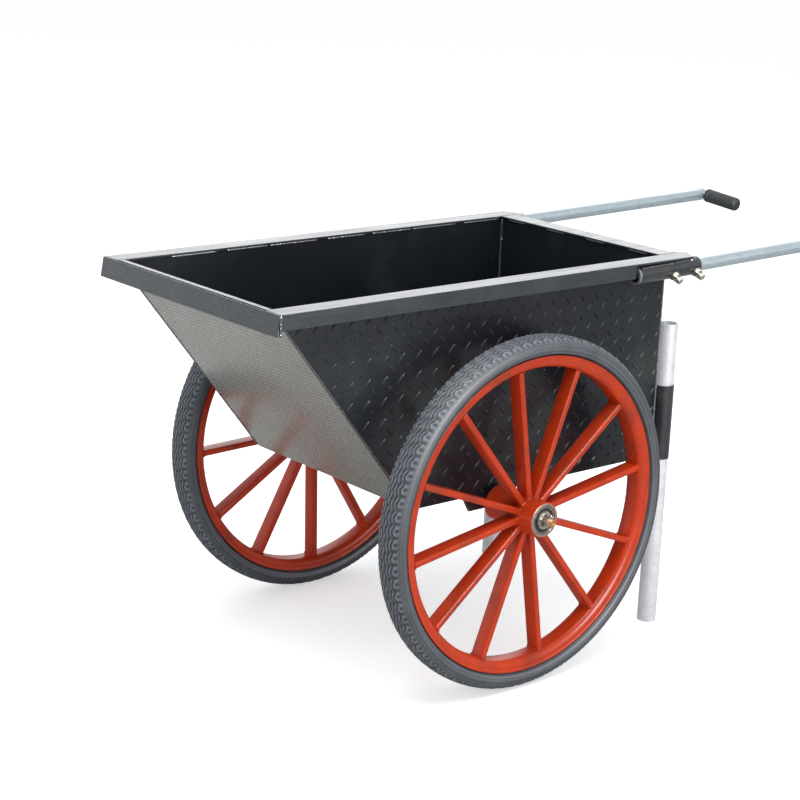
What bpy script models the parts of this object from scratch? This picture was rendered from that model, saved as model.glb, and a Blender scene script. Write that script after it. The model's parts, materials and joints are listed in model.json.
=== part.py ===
"""Two-wheeled garden tub cart.

A welded steel tub with an angle-iron rim stands on a through axle and two adjustable rear legs. Each wheel
is a spoked steel weldment with a solid tyre, running on two ball bearings. Two tube poles with cross grips
slide into sockets under the rim.

Metres, +Z up, +X towards the nose, +Y towards the cart's left. The ground is z = 0. Every x below is
measured from the axle; the empty named cart then puts the middle of the whole length at x = 0.
"""

import math

import bmesh
import bpy
from mathutils import Matrix, Vector

# Driving dimensions
GAP = 0.0003  # left between pieces that touch
TYRE_RADIUS = 0.330
TYRE_HALF_WIDTH = 0.0305
TRACK_HALF = 0.3205  # a wheel's middle plane, from the cart's middle plane
RIM_TOP = 0.748
RIM_HALF_WIDTH = 0.269
RIM_FRONT = 0.526
RIM_REAR = -0.450
RIM_STEEL = 0.004
SIDE_FLANGE_WIDTH = 0.043  # flat top of the side rims
SIDE_FLANGE_DEPTH = 0.028
SIDE_FLANGE_GAP = 0.011  # from the handle socket's front end to the hanging part of a side rim
FRONT_FLANGE_DEPTH = 0.036
FRONT_FLANGE_LEAN = 0.006  # how far its lower edge stands forward
FRONT_LIP = 0.018
REAR_FLANGE_WIDTH = 0.042
CORNER_HEEL = 0.005  # how far a side's flat top runs on behind the rear rim, at its outer edge
CORNER_TIP = 0.026
CORNER_WEB = 0.017  # reach of the corner's stiffening triangle along the rear rim
TUB_HALF_WIDTH = 0.232
TUB_REAR = -0.416
TUB_BOTTOM = 0.346
FLOOR_FRONT = 0.196
SLOPE_TOP = (0.518, 0.748)  # x and z where the sloping front reaches the rim's top
PLATE = 0.003
AXLE_RADIUS = 0.0125
AXLE_END = 0.393
AXLE_CHAMFER = 0.0015
STUB_RADIUS = 0.008  # the threaded end outside the hub
COLLAR_WIDTH = 0.005
COLLAR_PLAY = 0.0005  # between a collar and the hub
COLLAR_HEIGHT = 0.0035  # above the bar
PIN_RADIUS = 0.0018
PIN_FROM_END = 0.0055
PIN_BELOW = 0.006  # past the stub
PIN_HEAD = (0.003, 0.008)  # from and to, above the stub
PIN_HEAD_RADIUS = 0.0032
WASHER_RADIUS = 0.0160
WASHER_THICK = 0.003
AXLE_NUT_FLATS = 0.0120  # from the axis to a flat
AXLE_NUT_HEIGHT = 0.011
HUB_INNER = 0.244
HUB_OUTER = 0.370
HUB_RADIUS = 0.0325
BEARING_RADIUS = 0.026
BEARING_WIDTH = 0.015
BEARING_RECESS = 0.002
WHEEL_RIM_RADIUS = 0.297
WHEEL_RIM_WELL = 0.274  # radius of the rim's innermost band
WHEEL_RIM_HALF_WIDTH = 0.0235
SPOKES = 12
SPOKE_THICK = 0.012
SPOKE_WIDE = 0.030
SPOKE_CORNER = 0.003
SPOKE_PHASE = {"left": -9.0, "right": -1.5}  # degrees from +X towards +Z, of the first spoke
HOLE_PHASE = {"left": 165.0, "right": 172.5}
RIM_HOLE_RADIUS = 0.003
POLE_RADIUS = 0.0127
POLE_WALL = 0.0022
POLE_Y = 0.253
POLE_RISE = 1.25  # degrees that a pole climbs towards the rear
POLE_IN = 0.148  # length of pole inside the socket
SOCKET_RADIUS = 0.0175
SOCKET_BORE = 0.0132
SOCKET_REAR = -0.478
SOCKET_LENGTH = 0.167
SET_BOLTS = {"rear": 0.012, "front": 0.073}  # from the socket's rear end
SET_BOLT_DROP = 30.0  # degrees below level, pointing outwards
CROSSBAR_BACK = 0.578  # from the socket's rear end
CROSSBAR_RADIUS = 0.011
CROSSBAR_OUT = 0.016  # past the pole's axis, outwards
CROSSBAR_IN = 0.098
CROSSBAR_DROOP = 5.0  # degrees that its inner end hangs lower
GRIP_RADIUS = 0.015
GRIP_START = 0.0145
GRIP_END = 0.104
LEG_RADIUS = 0.0185
LEG_WALL = 0.0026
LEG_TOP = 0.613
LEG_Y = 0.2345
SLEEVE_RADIUS = 0.0200
SLEEVE_LOW = 0.341
SLEEVE_HIGH = 0.491
WHEEL_SEGMENTS = 48
ROUND = 24

# Worked out
AXLE_HEIGHT = TYRE_RADIUS
NOSE = RIM_FRONT + FRONT_FLANGE_LEAN
TAIL = SOCKET_REAR - CROSSBAR_BACK * math.cos(math.radians(POLE_RISE)) - GRIP_RADIUS
PLATE_TOP = RIM_TOP - RIM_STEEL - GAP
SLOPE = (SLOPE_TOP[0] - FLOOR_FRONT) / (SLOPE_TOP[1] - TUB_BOTTOM)
PLATE_ALONG_X = PLATE * math.hypot(1.0, SLOPE)
POLE_Z = PLATE_TOP - SOCKET_RADIUS
LEG_X = TUB_REAR - SLEEVE_RADIUS - GAP
LEFT_OR_RIGHT = (("left", 1.0), ("right", -1.0))

BLACK_PAINT = ("black_paint", (0.012, 0.014, 0.018), 0.35, 0.0)
RIM_PAINT = ("rim_paint", (0.060, 0.072, 0.085), 0.35, 0.2)
BRIGHT_SHEET = ("bright_sheet", (0.38, 0.38, 0.35), 0.30, 0.6)
WHEEL_PAINT = ("wheel_paint", (0.62, 0.065, 0.018), 0.30, 0.0)
TYRE_RUBBER = ("tyre_rubber", (0.045, 0.050, 0.055), 0.75, 0.0)
GALVANISED = ("galvanised", (0.55, 0.60, 0.63), 0.40, 0.9)
BEARING_STEEL = ("bearing_steel", (0.50, 0.50, 0.48), 0.25, 1.0)
AXLE_STEEL = ("axle_steel", (0.30, 0.29, 0.27), 0.40, 1.0)
ZINC = ("zinc", (0.60, 0.58, 0.52), 0.35, 1.0)
GRIP_RUBBER = ("grip_rubber", (0.020, 0.021, 0.023), 0.60, 0.0)


def material(finish):
    name, colour, roughness, metallic = finish
    found = bpy.data.materials.get(name)
    if found:
        return found
    made = bpy.data.materials.new(name)
    made.use_nodes = True
    shader = made.node_tree.nodes["Principled BSDF"]
    shader.inputs["Base Color"].default_value = (*colour, 1.0)
    shader.inputs["Roughness"].default_value = roughness
    shader.inputs["Metallic"].default_value = metallic
    return made


def empty(name, location, parent=None):
    made = bpy.data.objects.new(name, None)
    made.location = location
    made.parent = parent
    bpy.context.collection.objects.link(made)
    return made


def new_object(name, points, faces, finish, parent, smooth=False):
    """A mesh object of these points and faces, with its faces turned outwards."""
    mesh = bpy.data.meshes.new(name)
    shape = bmesh.new()
    corners = [shape.verts.new(point) for point in points]
    for face in faces:
        shape.faces.new([corners[index] for index in face])
    bmesh.ops.recalc_face_normals(shape, faces=shape.faces)
    shape.to_mesh(mesh)
    shape.free()
    if smooth:
        mesh.shade_smooth()
        mesh.set_sharp_from_angle(angle=math.radians(35))
    mesh.materials.append(material(finish))
    made = bpy.data.objects.new(name, mesh)
    made.parent = parent
    bpy.context.collection.objects.link(made)
    return made


def prism(name, outline, low, high, finish, parent, axis="Y"):
    """An outline in the XZ plane run along Y, or in the XY plane run along Z, from low to high."""
    if axis == "Y":
        points = [(u, level, v) for level in (low, high) for u, v in outline]
    else:
        points = [(u, v, level) for level in (low, high) for u, v in outline]
    count = len(outline)
    sides = [(i, (i + 1) % count, (i + 1) % count + count, i + count) for i in range(count)]
    caps = [tuple(range(count)), tuple(range(count, 2 * count))]
    return new_object(name, points, sides + caps, finish, parent)


def block(name, low, high, finish, parent):
    outline = [(low[0], low[1]), (high[0], low[1]), (high[0], high[1]), (low[0], high[1])]
    return prism(name, outline, low[2], high[2], finish, parent, axis="Z")


def ring_point(turn, radius, sides):
    """A point at this angle on a circle, or on a regular polygon whose flats are this radius away."""
    if sides:
        step = 2 * math.pi / sides
        radius = radius / math.cos((turn + step / 2) % step - step / 2)
    return radius * math.cos(turn), radius * math.sin(turn)


def turned(name, stations, finish, parent, count=ROUND, looped=False):
    """A shape turned about Z. A station is (height, radius) or, for a nut's flats, (height, radius, sides).

    The two ends are capped, or with looped the last station joins the first, which leaves a ring.
    """
    points = []
    for station in stations:
        height, radius = station[:2]
        sides = station[2] if len(station) > 2 else 0
        for index in range(count):
            turn = 2 * math.pi * index / count
            points.append((*ring_point(turn, radius, sides), height))
    faces = []
    rows = len(stations)
    for row in range(rows if looped else rows - 1):
        near, far = row * count, (row + 1) % rows * count
        for index in range(count):
            after = (index + 1) % count
            faces.append((near + index, near + after, far + after, far + index))
    if not looped:
        faces += [tuple(range(count)), tuple(range((rows - 1) * count, rows * count))]
    return new_object(name, points, faces, finish, parent, smooth=True)


def tube(name, low, high, radius, bore, finish, parent, count=ROUND):
    stations = [(low, radius), (high, radius), (high, bore), (low, bore)]
    return turned(name, stations, finish, parent, count, looped=True)


def lay(piece, location, direction, roll=0.0):
    """Stands a piece that was turned about Z along another direction."""
    turn = Vector(direction).to_track_quat("Z", "Y").to_matrix().to_4x4()
    piece.matrix_local = Matrix.Translation(location) @ turn @ Matrix.Rotation(math.radians(roll), 4, "Z")
    return piece


def boolean(piece, helper, operation):
    """Joins a helper to a piece or cuts it away. The helper itself is not part of the cart."""
    helper.hide_render = True
    helper.display_type = "WIRE"
    change = piece.modifiers.new(operation.lower(), "BOOLEAN")
    change.operation = operation
    change.solver = "EXACT"
    change.object = helper
    return piece


def slope_x(height, inward=0.0):
    """Where the outer face of the sloping front is at a height, less a distance inwards along X."""
    return FLOOR_FRONT + (height - TUB_BOTTOM) * SLOPE - inward


def build_tub(cart):
    inner = PLATE_ALONG_X + GAP
    side = [
        (TUB_REAR, TUB_BOTTOM),
        (slope_x(TUB_BOTTOM, inner), TUB_BOTTOM),
        (slope_x(PLATE_TOP, inner), PLATE_TOP),
        (TUB_REAR, PLATE_TOP),
    ]
    for name, hand in LEFT_OR_RIGHT:
        outer = hand * TUB_HALF_WIDTH
        prism(f"side_plate_{name}", side, outer - hand * PLATE, outer, BLACK_PAINT, cart)
    front = [
        (slope_x(TUB_BOTTOM), TUB_BOTTOM),
        (slope_x(PLATE_TOP), PLATE_TOP),
        (slope_x(PLATE_TOP, PLATE_ALONG_X), PLATE_TOP),
        (slope_x(TUB_BOTTOM, PLATE_ALONG_X), TUB_BOTTOM),
    ]
    prism("front_plate", front, -TUB_HALF_WIDTH, TUB_HALF_WIDTH, BRIGHT_SHEET, cart)
    between = TUB_HALF_WIDTH - PLATE - GAP
    floor_rear = TUB_REAR + PLATE + GAP
    floor_front = slope_x(TUB_BOTTOM, inner)
    block(
        "floor_plate",
        (floor_rear, -between, TUB_BOTTOM),
        (floor_front, between, TUB_BOTTOM + PLATE),
        BLACK_PAINT,
        cart,
    )
    rear_low = (TUB_REAR, -between, TUB_BOTTOM)
    rear_high = (TUB_REAR + PLATE, between, PLATE_TOP)
    block("rear_plate", rear_low, rear_high, BLACK_PAINT, cart)


def build_rim(cart):
    """Angle iron round the tub's mouth: two long sides, and the front and rear lengths across them."""
    under = RIM_TOP - RIM_STEEL
    inner = RIM_HALF_WIDTH - SIDE_FLANGE_WIDTH
    lower_front = RIM_FRONT + FRONT_FLANGE_LEAN
    behind = RIM_FRONT - RIM_STEEL
    flange = [
        (RIM_FRONT, RIM_TOP),
        (lower_front, RIM_TOP - FRONT_FLANGE_DEPTH),
        (lower_front - RIM_STEEL, RIM_TOP - FRONT_FLANGE_DEPTH),
        (behind, RIM_TOP),
    ]
    front = prism("rim_front", flange, -RIM_HALF_WIDTH, RIM_HALF_WIDTH, RIM_PAINT, cart)
    lip_end = inner - GAP
    lip = block(
        "front_lip_helper",
        (RIM_FRONT - FRONT_LIP, -lip_end, under),
        (behind + RIM_STEEL / 2, lip_end, RIM_TOP - GAP / 10),
        RIM_PAINT,
        cart,
    )
    boolean(front, lip, "UNION")
    for name, hand in LEFT_OR_RIGHT:
        outline = [
            (behind - GAP, hand * inner),
            (behind - GAP, hand * RIM_HALF_WIDTH),
            (RIM_REAR - CORNER_HEEL, hand * RIM_HALF_WIDTH),
            (RIM_REAR - CORNER_TIP, hand * (inner + RIM_STEEL)),
            (RIM_REAR - GAP, hand * (inner - CORNER_WEB)),
            (RIM_REAR - GAP, hand * inner),
        ]
        side = prism(f"rim_{name}", outline, under, RIM_TOP, RIM_PAINT, cart, axis="Z")
        edges = sorted((hand * RIM_HALF_WIDTH, hand * (RIM_HALF_WIDTH - RIM_STEEL)))
        skirt = block(
            f"side_flange_helper_{name}",
            (SOCKET_REAR + SOCKET_LENGTH + SIDE_FLANGE_GAP, edges[0], RIM_TOP - SIDE_FLANGE_DEPTH),
            (behind - GAP, edges[1], under + RIM_STEEL / 2),
            RIM_PAINT,
            cart,
        )
        boolean(side, skirt, "UNION")
    rear = [
        (RIM_REAR, RIM_TOP),
        (RIM_REAR + REAR_FLANGE_WIDTH, RIM_TOP),
        (RIM_REAR + REAR_FLANGE_WIDTH, under),
        (RIM_REAR + RIM_STEEL, under),
        (RIM_REAR + RIM_STEEL, RIM_TOP - SIDE_FLANGE_DEPTH),
        (RIM_REAR, RIM_TOP - SIDE_FLANGE_DEPTH),
    ]
    prism("rim_rear", rear, -lip_end, lip_end, RIM_PAINT, cart)


def set_bolt(name, finish, parent):
    """A welded nut with its clamping bolt, standing on z = 0 with its head up."""
    nut_flats, shank, head_flats = 0.0085, 0.0045, 0.0065
    nut_top, head_low, head_top = 0.008, 0.012, 0.0185
    stations = [
        (0.0, nut_flats, 6),
        (nut_top, nut_flats, 6),
        (nut_top, shank),
        (head_low, shank),
        (head_low, head_flats, 6),
        (head_top, head_flats, 6),
    ]
    return turned(name, stations, finish, parent, count=12)


def pole_axis(name, hand, cart):
    """An empty at the socket's rear end: its Z runs back along the pole, its X up and its Y to the left."""
    axis = empty(name, (SOCKET_REAR, hand * POLE_Y, POLE_Z), cart)
    axis.rotation_euler = (0, math.radians(POLE_RISE - 90.0), 0)
    return axis


def build_sockets(cart):
    drop = math.radians(SET_BOLT_DROP)
    for name, hand in LEFT_OR_RIGHT:
        axis = pole_axis(f"socket_axis_{name}", hand, cart)
        tube(f"handle_socket_{name}", -SOCKET_LENGTH, 0, SOCKET_RADIUS, SOCKET_BORE, BLACK_PAINT, axis)
        out = Vector((-math.sin(drop), hand * math.cos(drop), 0))
        for place, back in SET_BOLTS.items():
            bolt = set_bolt(f"socket_bolt_{name}_{place}", ZINC, axis)
            lay(bolt, out * (SOCKET_RADIUS + GAP) - Vector((0, 0, back)), out)


def build_poles(cart):
    """Each pole, its welded crossbar and its grip hang on one empty, which slides along the socket's axis."""
    droop = math.radians(CROSSBAR_DROOP)
    bore = CROSSBAR_RADIUS + GAP
    for name, hand in LEFT_OR_RIGHT:
        slide = pole_axis(f"pole_slide_{name}", hand, cart)
        rear = CROSSBAR_BACK - CROSSBAR_RADIUS - GAP
        tube(f"pole_{name}", -POLE_IN, rear, POLE_RADIUS, POLE_RADIUS - POLE_WALL, GALVANISED, slide)
        inwards = (-math.sin(droop), -hand * math.cos(droop), 0)
        bar = tube(
            f"crossbar_{name}",
            -CROSSBAR_OUT,
            CROSSBAR_IN,
            CROSSBAR_RADIUS,
            CROSSBAR_RADIUS - POLE_WALL,
            GALVANISED,
            slide,
        )
        lay(bar, (0, 0, CROSSBAR_BACK), inwards)
        stations = [
            (GRIP_END, GRIP_RADIUS - 0.003),
            (GRIP_END - 0.003, GRIP_RADIUS),
            (GRIP_START, GRIP_RADIUS),
            (GRIP_START, bore),
            (CROSSBAR_IN + GAP, bore),
        ]
        grip = turned(f"grip_{name}", stations, GRIP_RUBBER, slide)
        lay(grip, (0, 0, CROSSBAR_BACK), inwards)


def build_legs(cart):
    for name, hand in LEFT_OR_RIGHT:
        stand = empty(f"leg_slide_{name}", (LEG_X, hand * LEG_Y, 0), cart)
        tube(f"leg_{name}", 0.0, LEG_TOP, LEG_RADIUS, LEG_RADIUS - LEG_WALL, GALVANISED, stand)
        sleeve = tube(
            f"leg_sleeve_{name}",
            SLEEVE_LOW,
            SLEEVE_HIGH,
            SLEEVE_RADIUS,
            LEG_RADIUS + GAP,
            BLACK_PAINT,
            cart,
        )
        sleeve.location = (LEG_X, hand * LEG_Y, 0)
        bolt = set_bolt(f"leg_bolt_{name}", ZINC, cart)
        middle = (SLEEVE_LOW + SLEEVE_HIGH) / 2
        inboard = hand * (LEG_Y - SLEEVE_RADIUS - GAP)
        lay(bolt, (LEG_X, inboard, middle), (0, -hand, 0))


def build_axle(cart):
    collar_out = HUB_INNER - COLLAR_PLAY
    collar_in = collar_out - COLLAR_WIDTH
    collar = AXLE_RADIUS + COLLAR_HEIGHT
    washer_in = HUB_OUTER - BEARING_RECESS + COLLAR_PLAY
    washer_out = washer_in + WASHER_THICK
    half = [
        (collar_in, AXLE_RADIUS),
        (collar_in, collar),
        (collar_out, collar),
        (collar_out, AXLE_RADIUS),
        (washer_in - GAP, AXLE_RADIUS),
        (washer_in - GAP, STUB_RADIUS),
        (AXLE_END - AXLE_CHAMFER, STUB_RADIUS),
        (AXLE_END, STUB_RADIUS - AXLE_CHAMFER),
    ]
    stations = [(-height, radius) for height, radius in reversed(half)] + half
    axle = turned("axle", stations, AXLE_STEEL, cart)
    lay(axle, (0, 0, AXLE_HEIGHT), (0, 1, 0))
    pin_y = AXLE_END - PIN_FROM_END
    for name, hand in LEFT_OR_RIGHT:
        drill = tube_drill(f"pin_hole_helper_{name}", PIN_RADIUS + GAP, cart)
        lay(drill, (0, hand * pin_y, AXLE_HEIGHT), (0, 0, 1))
        boolean(axle, drill, "DIFFERENCE")
        stations = [
            (-STUB_RADIUS - PIN_BELOW, PIN_RADIUS),
            (STUB_RADIUS + PIN_HEAD[0], PIN_RADIUS),
            (STUB_RADIUS + PIN_HEAD[0], PIN_HEAD_RADIUS),
            (STUB_RADIUS + PIN_HEAD[1], PIN_HEAD_RADIUS),
        ]
        pin = turned(f"split_pin_{name}", stations, ZINC, cart, count=8)
        lay(pin, (0, hand * pin_y, AXLE_HEIGHT), (0, 0, 1))
        bore = STUB_RADIUS + GAP
        washer = tube(f"axle_washer_{name}", washer_in, washer_out, WASHER_RADIUS, bore, ZINC, cart)
        lay(washer, (0, 0, AXLE_HEIGHT), (0, hand, 0))
        nut_in = washer_out + GAP
        nut_out = nut_in + AXLE_NUT_HEIGHT
        stations = [
            (nut_in, AXLE_NUT_FLATS, 6),
            (nut_out, AXLE_NUT_FLATS, 6),
            (nut_out, bore),
            (nut_in, bore),
        ]
        nut = turned(f"axle_nut_{name}", stations, ZINC, cart, looped=True)
        lay(nut, (0, 0, AXLE_HEIGHT), (0, hand, 0))


def tube_drill(name, radius, parent):
    """A long thin cutter for a cross hole."""
    reach = 2 * AXLE_RADIUS
    return turned(name, [(-reach, radius), (reach, radius)], AXLE_STEEL, parent, count=8)


def build_axle_brackets(cart):
    """A short piece of angle iron under each side of the floor, whose hanging leg the axle passes through."""
    web_outer, web_thick, flange_wide = 0.224, 0.006, 0.040
    top, flange_low, low = TUB_BOTTOM - GAP, AXLE_HEIGHT + AXLE_RADIUS + 0.0004, 0.314
    long_half, short_half = 0.068, 0.050
    web = [(-long_half, top), (-short_half, low), (short_half, low), (long_half, top)]
    for name, hand in LEFT_OR_RIGHT:
        outer = hand * web_outer
        bracket = prism(f"axle_bracket_{name}", web, outer - hand * web_thick, outer, BLACK_PAINT, cart)
        edges = sorted((outer - hand * 0.001, outer - hand * flange_wide))
        flange = block(
            f"bracket_flange_helper_{name}",
            (-long_half + 0.003, edges[0], flange_low),
            (long_half - 0.003, edges[1], top - GAP / 10),
            BLACK_PAINT,
            cart,
        )
        boolean(bracket, flange, "UNION")
        drill = turned(
            f"axle_hole_helper_{name}",
            [(-0.02, AXLE_RADIUS + GAP), (0.02, AXLE_RADIUS + GAP)],
            AXLE_STEEL,
            cart,
        )
        lay(drill, (0, outer, AXLE_HEIGHT), (0, 1, 0))
        boolean(bracket, drill, "DIFFERENCE")


def tyre_section():
    """The solid tyre's outline as (across, radius): bead seat, flanks, shoulders and a nearly flat crown."""
    foot = WHEEL_RIM_HALF_WIDTH - 0.0028
    half = [
        (foot - 0.004, WHEEL_RIM_RADIUS - 0.014),
        (foot, WHEEL_RIM_RADIUS - 0.006),
        (foot, WHEEL_RIM_RADIUS + 0.001),
        (TYRE_HALF_WIDTH - 0.002, WHEEL_RIM_RADIUS + 0.004),
        (TYRE_HALF_WIDTH, WHEEL_RIM_RADIUS + 0.012),
        (TYRE_HALF_WIDTH - 0.004, TYRE_RADIUS - 0.009),
        (TYRE_HALF_WIDTH - 0.014, TYRE_RADIUS - 0.001),
    ]
    return half + [(0.0, TYRE_RADIUS)] + [(-across, radius) for across, radius in reversed(half)]


def rim_section():
    """A rounded steel channel, open outwards, as (across, radius): its hub side, then its tyre side."""
    steel = 0.0022
    outer = [
        (WHEEL_RIM_HALF_WIDTH, WHEEL_RIM_RADIUS),
        (WHEEL_RIM_HALF_WIDTH, WHEEL_RIM_RADIUS - 0.009),
        (WHEEL_RIM_HALF_WIDTH - 0.0045, WHEEL_RIM_WELL + 0.0045),
        (WHEEL_RIM_HALF_WIDTH - 0.0125, WHEEL_RIM_WELL),
    ]
    inner = [
        (WHEEL_RIM_HALF_WIDTH - 0.0135, WHEEL_RIM_WELL + steel),
        (WHEEL_RIM_HALF_WIDTH - 0.0058, WHEEL_RIM_WELL + steel + 0.0042),
        (WHEEL_RIM_HALF_WIDTH - steel, WHEEL_RIM_RADIUS - 0.0080),
        (WHEEL_RIM_HALF_WIDTH - steel, WHEEL_RIM_RADIUS),
    ]
    far_side = [(-across, radius) for across, radius in reversed(outer)]
    return outer + far_side + [(-across, radius) for across, radius in reversed(inner)] + inner


def spoke_solids(name, phase, parent):
    """Twelve rectangular tubes, from inside the hub's wall to just short of the rim's well."""
    root, tip = HUB_RADIUS - 0.0035, WHEEL_RIM_WELL * math.cos(math.pi / WHEEL_SEGMENTS) - GAP
    thick, wide, cut = SPOKE_THICK / 2, SPOKE_WIDE / 2, SPOKE_CORNER
    section = [
        (thick - cut, wide),
        (thick, wide - cut),
        (thick, cut - wide),
        (thick - cut, -wide),
        (cut - thick, -wide),
        (-thick, cut - wide),
        (-thick, wide - cut),
        (cut - thick, wide),
    ]
    count = len(section)
    points, faces = [], []
    for spoke in range(SPOKES):
        turn = math.radians(phase + spoke * 360.0 / SPOKES)
        start = len(points)
        for along in (root, tip):
            for across, level in section:
                x = along * math.cos(turn) - across * math.sin(turn)
                z = along * math.sin(turn) + across * math.cos(turn)
                points.append((x, level, z))
        near = [start + i for i in range(count)]
        far = [start + count + i for i in range(count)]
        faces += [(near[i], near[(i + 1) % count], far[(i + 1) % count], far[i]) for i in range(count)]
        faces += [tuple(near), tuple(far)]
    return new_object(name, points, faces, WHEEL_PAINT, parent)


def build_wheel(name, hand, cart):
    wheel = empty(f"wheel_turn_{name}", (0, hand * TRACK_HALF, AXLE_HEIGHT), cart)
    sideways = (0, 1, 0)
    tyre = turned(
        f"tyre_{name}", tyre_section(), TYRE_RUBBER, wheel, count=WHEEL_SEGMENTS, looped=True
    )
    lay(tyre, (0, 0, 0), sideways)
    rim = turned(f"wheel_rim_{name}", rim_section(), WHEEL_PAINT, wheel, count=WHEEL_SEGMENTS, looped=True)
    lay(rim, (0, 0, 0), sideways)
    turn = math.radians(HOLE_PHASE[name])
    hole = turned(
        f"rim_hole_helper_{name}",
        [(WHEEL_RIM_WELL - 0.01, RIM_HOLE_RADIUS), (WHEEL_RIM_WELL + 0.01, RIM_HOLE_RADIUS)],
        WHEEL_PAINT,
        wheel,
        count=12,
    )
    lay(hole, (0, 0, 0), (math.cos(turn), 0, math.sin(turn)))
    boolean(rim, hole, "DIFFERENCE")
    bore = BEARING_RADIUS + GAP
    ends = sorted((hand * HUB_INNER, hand * HUB_OUTER))
    low, high = ends[0] - hand * TRACK_HALF, ends[1] - hand * TRACK_HALF
    hub = tube(f"hub_and_spokes_{name}", low, high, HUB_RADIUS, bore, WHEEL_PAINT, wheel, count=36)
    lay(hub, (0, 0, 0), sideways)
    boolean(hub, spoke_solids(f"spokes_helper_{name}", SPOKE_PHASE[name], wheel), "UNION")
    outer_face = HUB_OUTER - BEARING_RECESS
    inner_face = HUB_INNER + BEARING_RECESS + BEARING_WIDTH
    for place, face in (("outer", outer_face), ("inner", inner_face)):
        bearing = tube(
            f"bearing_{place}_{name}",
            face - BEARING_WIDTH - TRACK_HALF,
            face - TRACK_HALF,
            BEARING_RADIUS,
            AXLE_RADIUS + GAP,
            BEARING_STEEL,
            wheel,
        )
        lay(bearing, (0, 0, 0), (0, hand, 0))


def main():
    for old in list(bpy.data.objects):
        bpy.data.objects.remove(old)
    cart = empty("cart", (-(NOSE + TAIL) / 2, 0, 0))
    build_tub(cart)
    build_rim(cart)
    build_sockets(cart)
    build_poles(cart)
    build_legs(cart)
    build_axle(cart)
    build_axle_brackets(cart)
    for name, hand in LEFT_OR_RIGHT:
        build_wheel(name, hand, cart)


main()
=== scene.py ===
"""Looks of the two-wheeled garden tub cart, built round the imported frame.

Metres, +Z up, +X towards the nose, +Y towards the cart's left. Sizes that the frame already holds are read
from it; the values named here are only those of the finer shapes and of the finishes.
"""

import json
import math
import random

import bmesh
import bpy
from mathutils import Matrix, Vector


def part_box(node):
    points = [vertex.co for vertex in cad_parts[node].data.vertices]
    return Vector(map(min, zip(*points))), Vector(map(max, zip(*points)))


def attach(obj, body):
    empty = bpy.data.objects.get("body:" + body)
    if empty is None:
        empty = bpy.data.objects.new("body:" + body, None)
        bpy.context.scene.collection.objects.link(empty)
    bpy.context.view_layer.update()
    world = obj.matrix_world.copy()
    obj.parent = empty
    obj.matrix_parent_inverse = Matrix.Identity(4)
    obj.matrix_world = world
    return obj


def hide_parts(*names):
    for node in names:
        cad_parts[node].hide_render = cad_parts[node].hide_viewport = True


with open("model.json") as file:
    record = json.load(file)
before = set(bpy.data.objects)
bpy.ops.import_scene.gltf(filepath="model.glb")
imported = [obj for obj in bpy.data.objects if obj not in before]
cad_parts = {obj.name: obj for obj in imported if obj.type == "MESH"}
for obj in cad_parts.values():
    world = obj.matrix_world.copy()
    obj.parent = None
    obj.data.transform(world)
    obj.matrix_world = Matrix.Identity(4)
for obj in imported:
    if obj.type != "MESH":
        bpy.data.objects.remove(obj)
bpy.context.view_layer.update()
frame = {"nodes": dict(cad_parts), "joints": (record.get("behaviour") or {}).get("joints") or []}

LEFT_OR_RIGHT = (("left", 1.0), ("right", -1.0))
X, Y, Z = Vector((1, 0, 0)), Vector((0, 1, 0)), Vector((0, 0, 1))

# Read from the frame
AXLE_LOW, AXLE_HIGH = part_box("axle")
TYRE_LOW, TYRE_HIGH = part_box("tyre_left")
SIDE_LOW, SIDE_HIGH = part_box("side_plate_left")
FLOOR_LOW, FLOOR_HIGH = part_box("floor_plate")
REAR_LOW, REAR_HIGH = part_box("rear_plate")
RIM_LOW, RIM_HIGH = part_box("rim_left")
FRONT_RIM_LOW, FRONT_RIM_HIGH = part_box("rim_front")
REAR_RIM_LOW, REAR_RIM_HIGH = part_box("rim_rear")
FRONT_LOW, FRONT_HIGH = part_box("front_plate")
AXLE_CENTRE = (AXLE_LOW + AXLE_HIGH) / 2
TYRE_RADIUS = (TYRE_HIGH.z - TYRE_LOW.z) / 2
TRACK_HALF = (TYRE_LOW.y + TYRE_HIGH.y) / 2
PLATE = REAR_HIGH.x - REAR_LOW.x
FRONT_LEAN = Vector((SIDE_HIGH.x - FLOOR_HIGH.x, 0, SIDE_HIGH.z - SIDE_LOW.z)).normalized()

# Steel sections
STEEL = 0.004  # thickness of the rim's angle iron
AXLE_RADIUS = 0.0125
STUB_RADIUS = 0.008  # the axle's threaded ends
WASHER_RADIUS = 0.0160
SOCKET_RADIUS, SOCKET_BORE = 0.0175, 0.0132
POLE_RADIUS, POLE_WALL = 0.0127, 0.0022
CROSSBAR_RADIUS = 0.011
GRIP_RADIUS = 0.015
LEG_RADIUS, LEG_WALL = 0.0185, 0.0026
SLEEVE_RADIUS = 0.0200
HUB_RADIUS = 0.0325
RIM_RADIUS, RIM_WELL, RIM_HALF, RIM_STEEL = 0.297, 0.274, 0.0235, 0.0022  # the wheels' rolled rims
BEARING_RADIUS = 0.026
FIT = 0.0003  # clearance between pieces that slide or press together

# Chequer plate
DASH_PITCH = 0.0377
DASH_LENGTH = 0.0235
DASH_WIDTH = 0.0066
DASH_HEIGHT = 0.0016
DASH_LEAN = 48.0  # degrees above level, up towards the rear
DASH_ROW = 0.7065  # height of the top row
DASH_COLUMN = 0.0065  # a column's place from the axle

# Fine pattern of the sloping front sheet
FINE_ACROSS = 0.0074  # from one line of strokes to the next
FINE_ALONG = 0.0108  # from one stroke to the next down a line
FINE_LENGTH = 0.0088
FINE_WIDTH = 0.0052
FINE_HEIGHT = 0.0004

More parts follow.
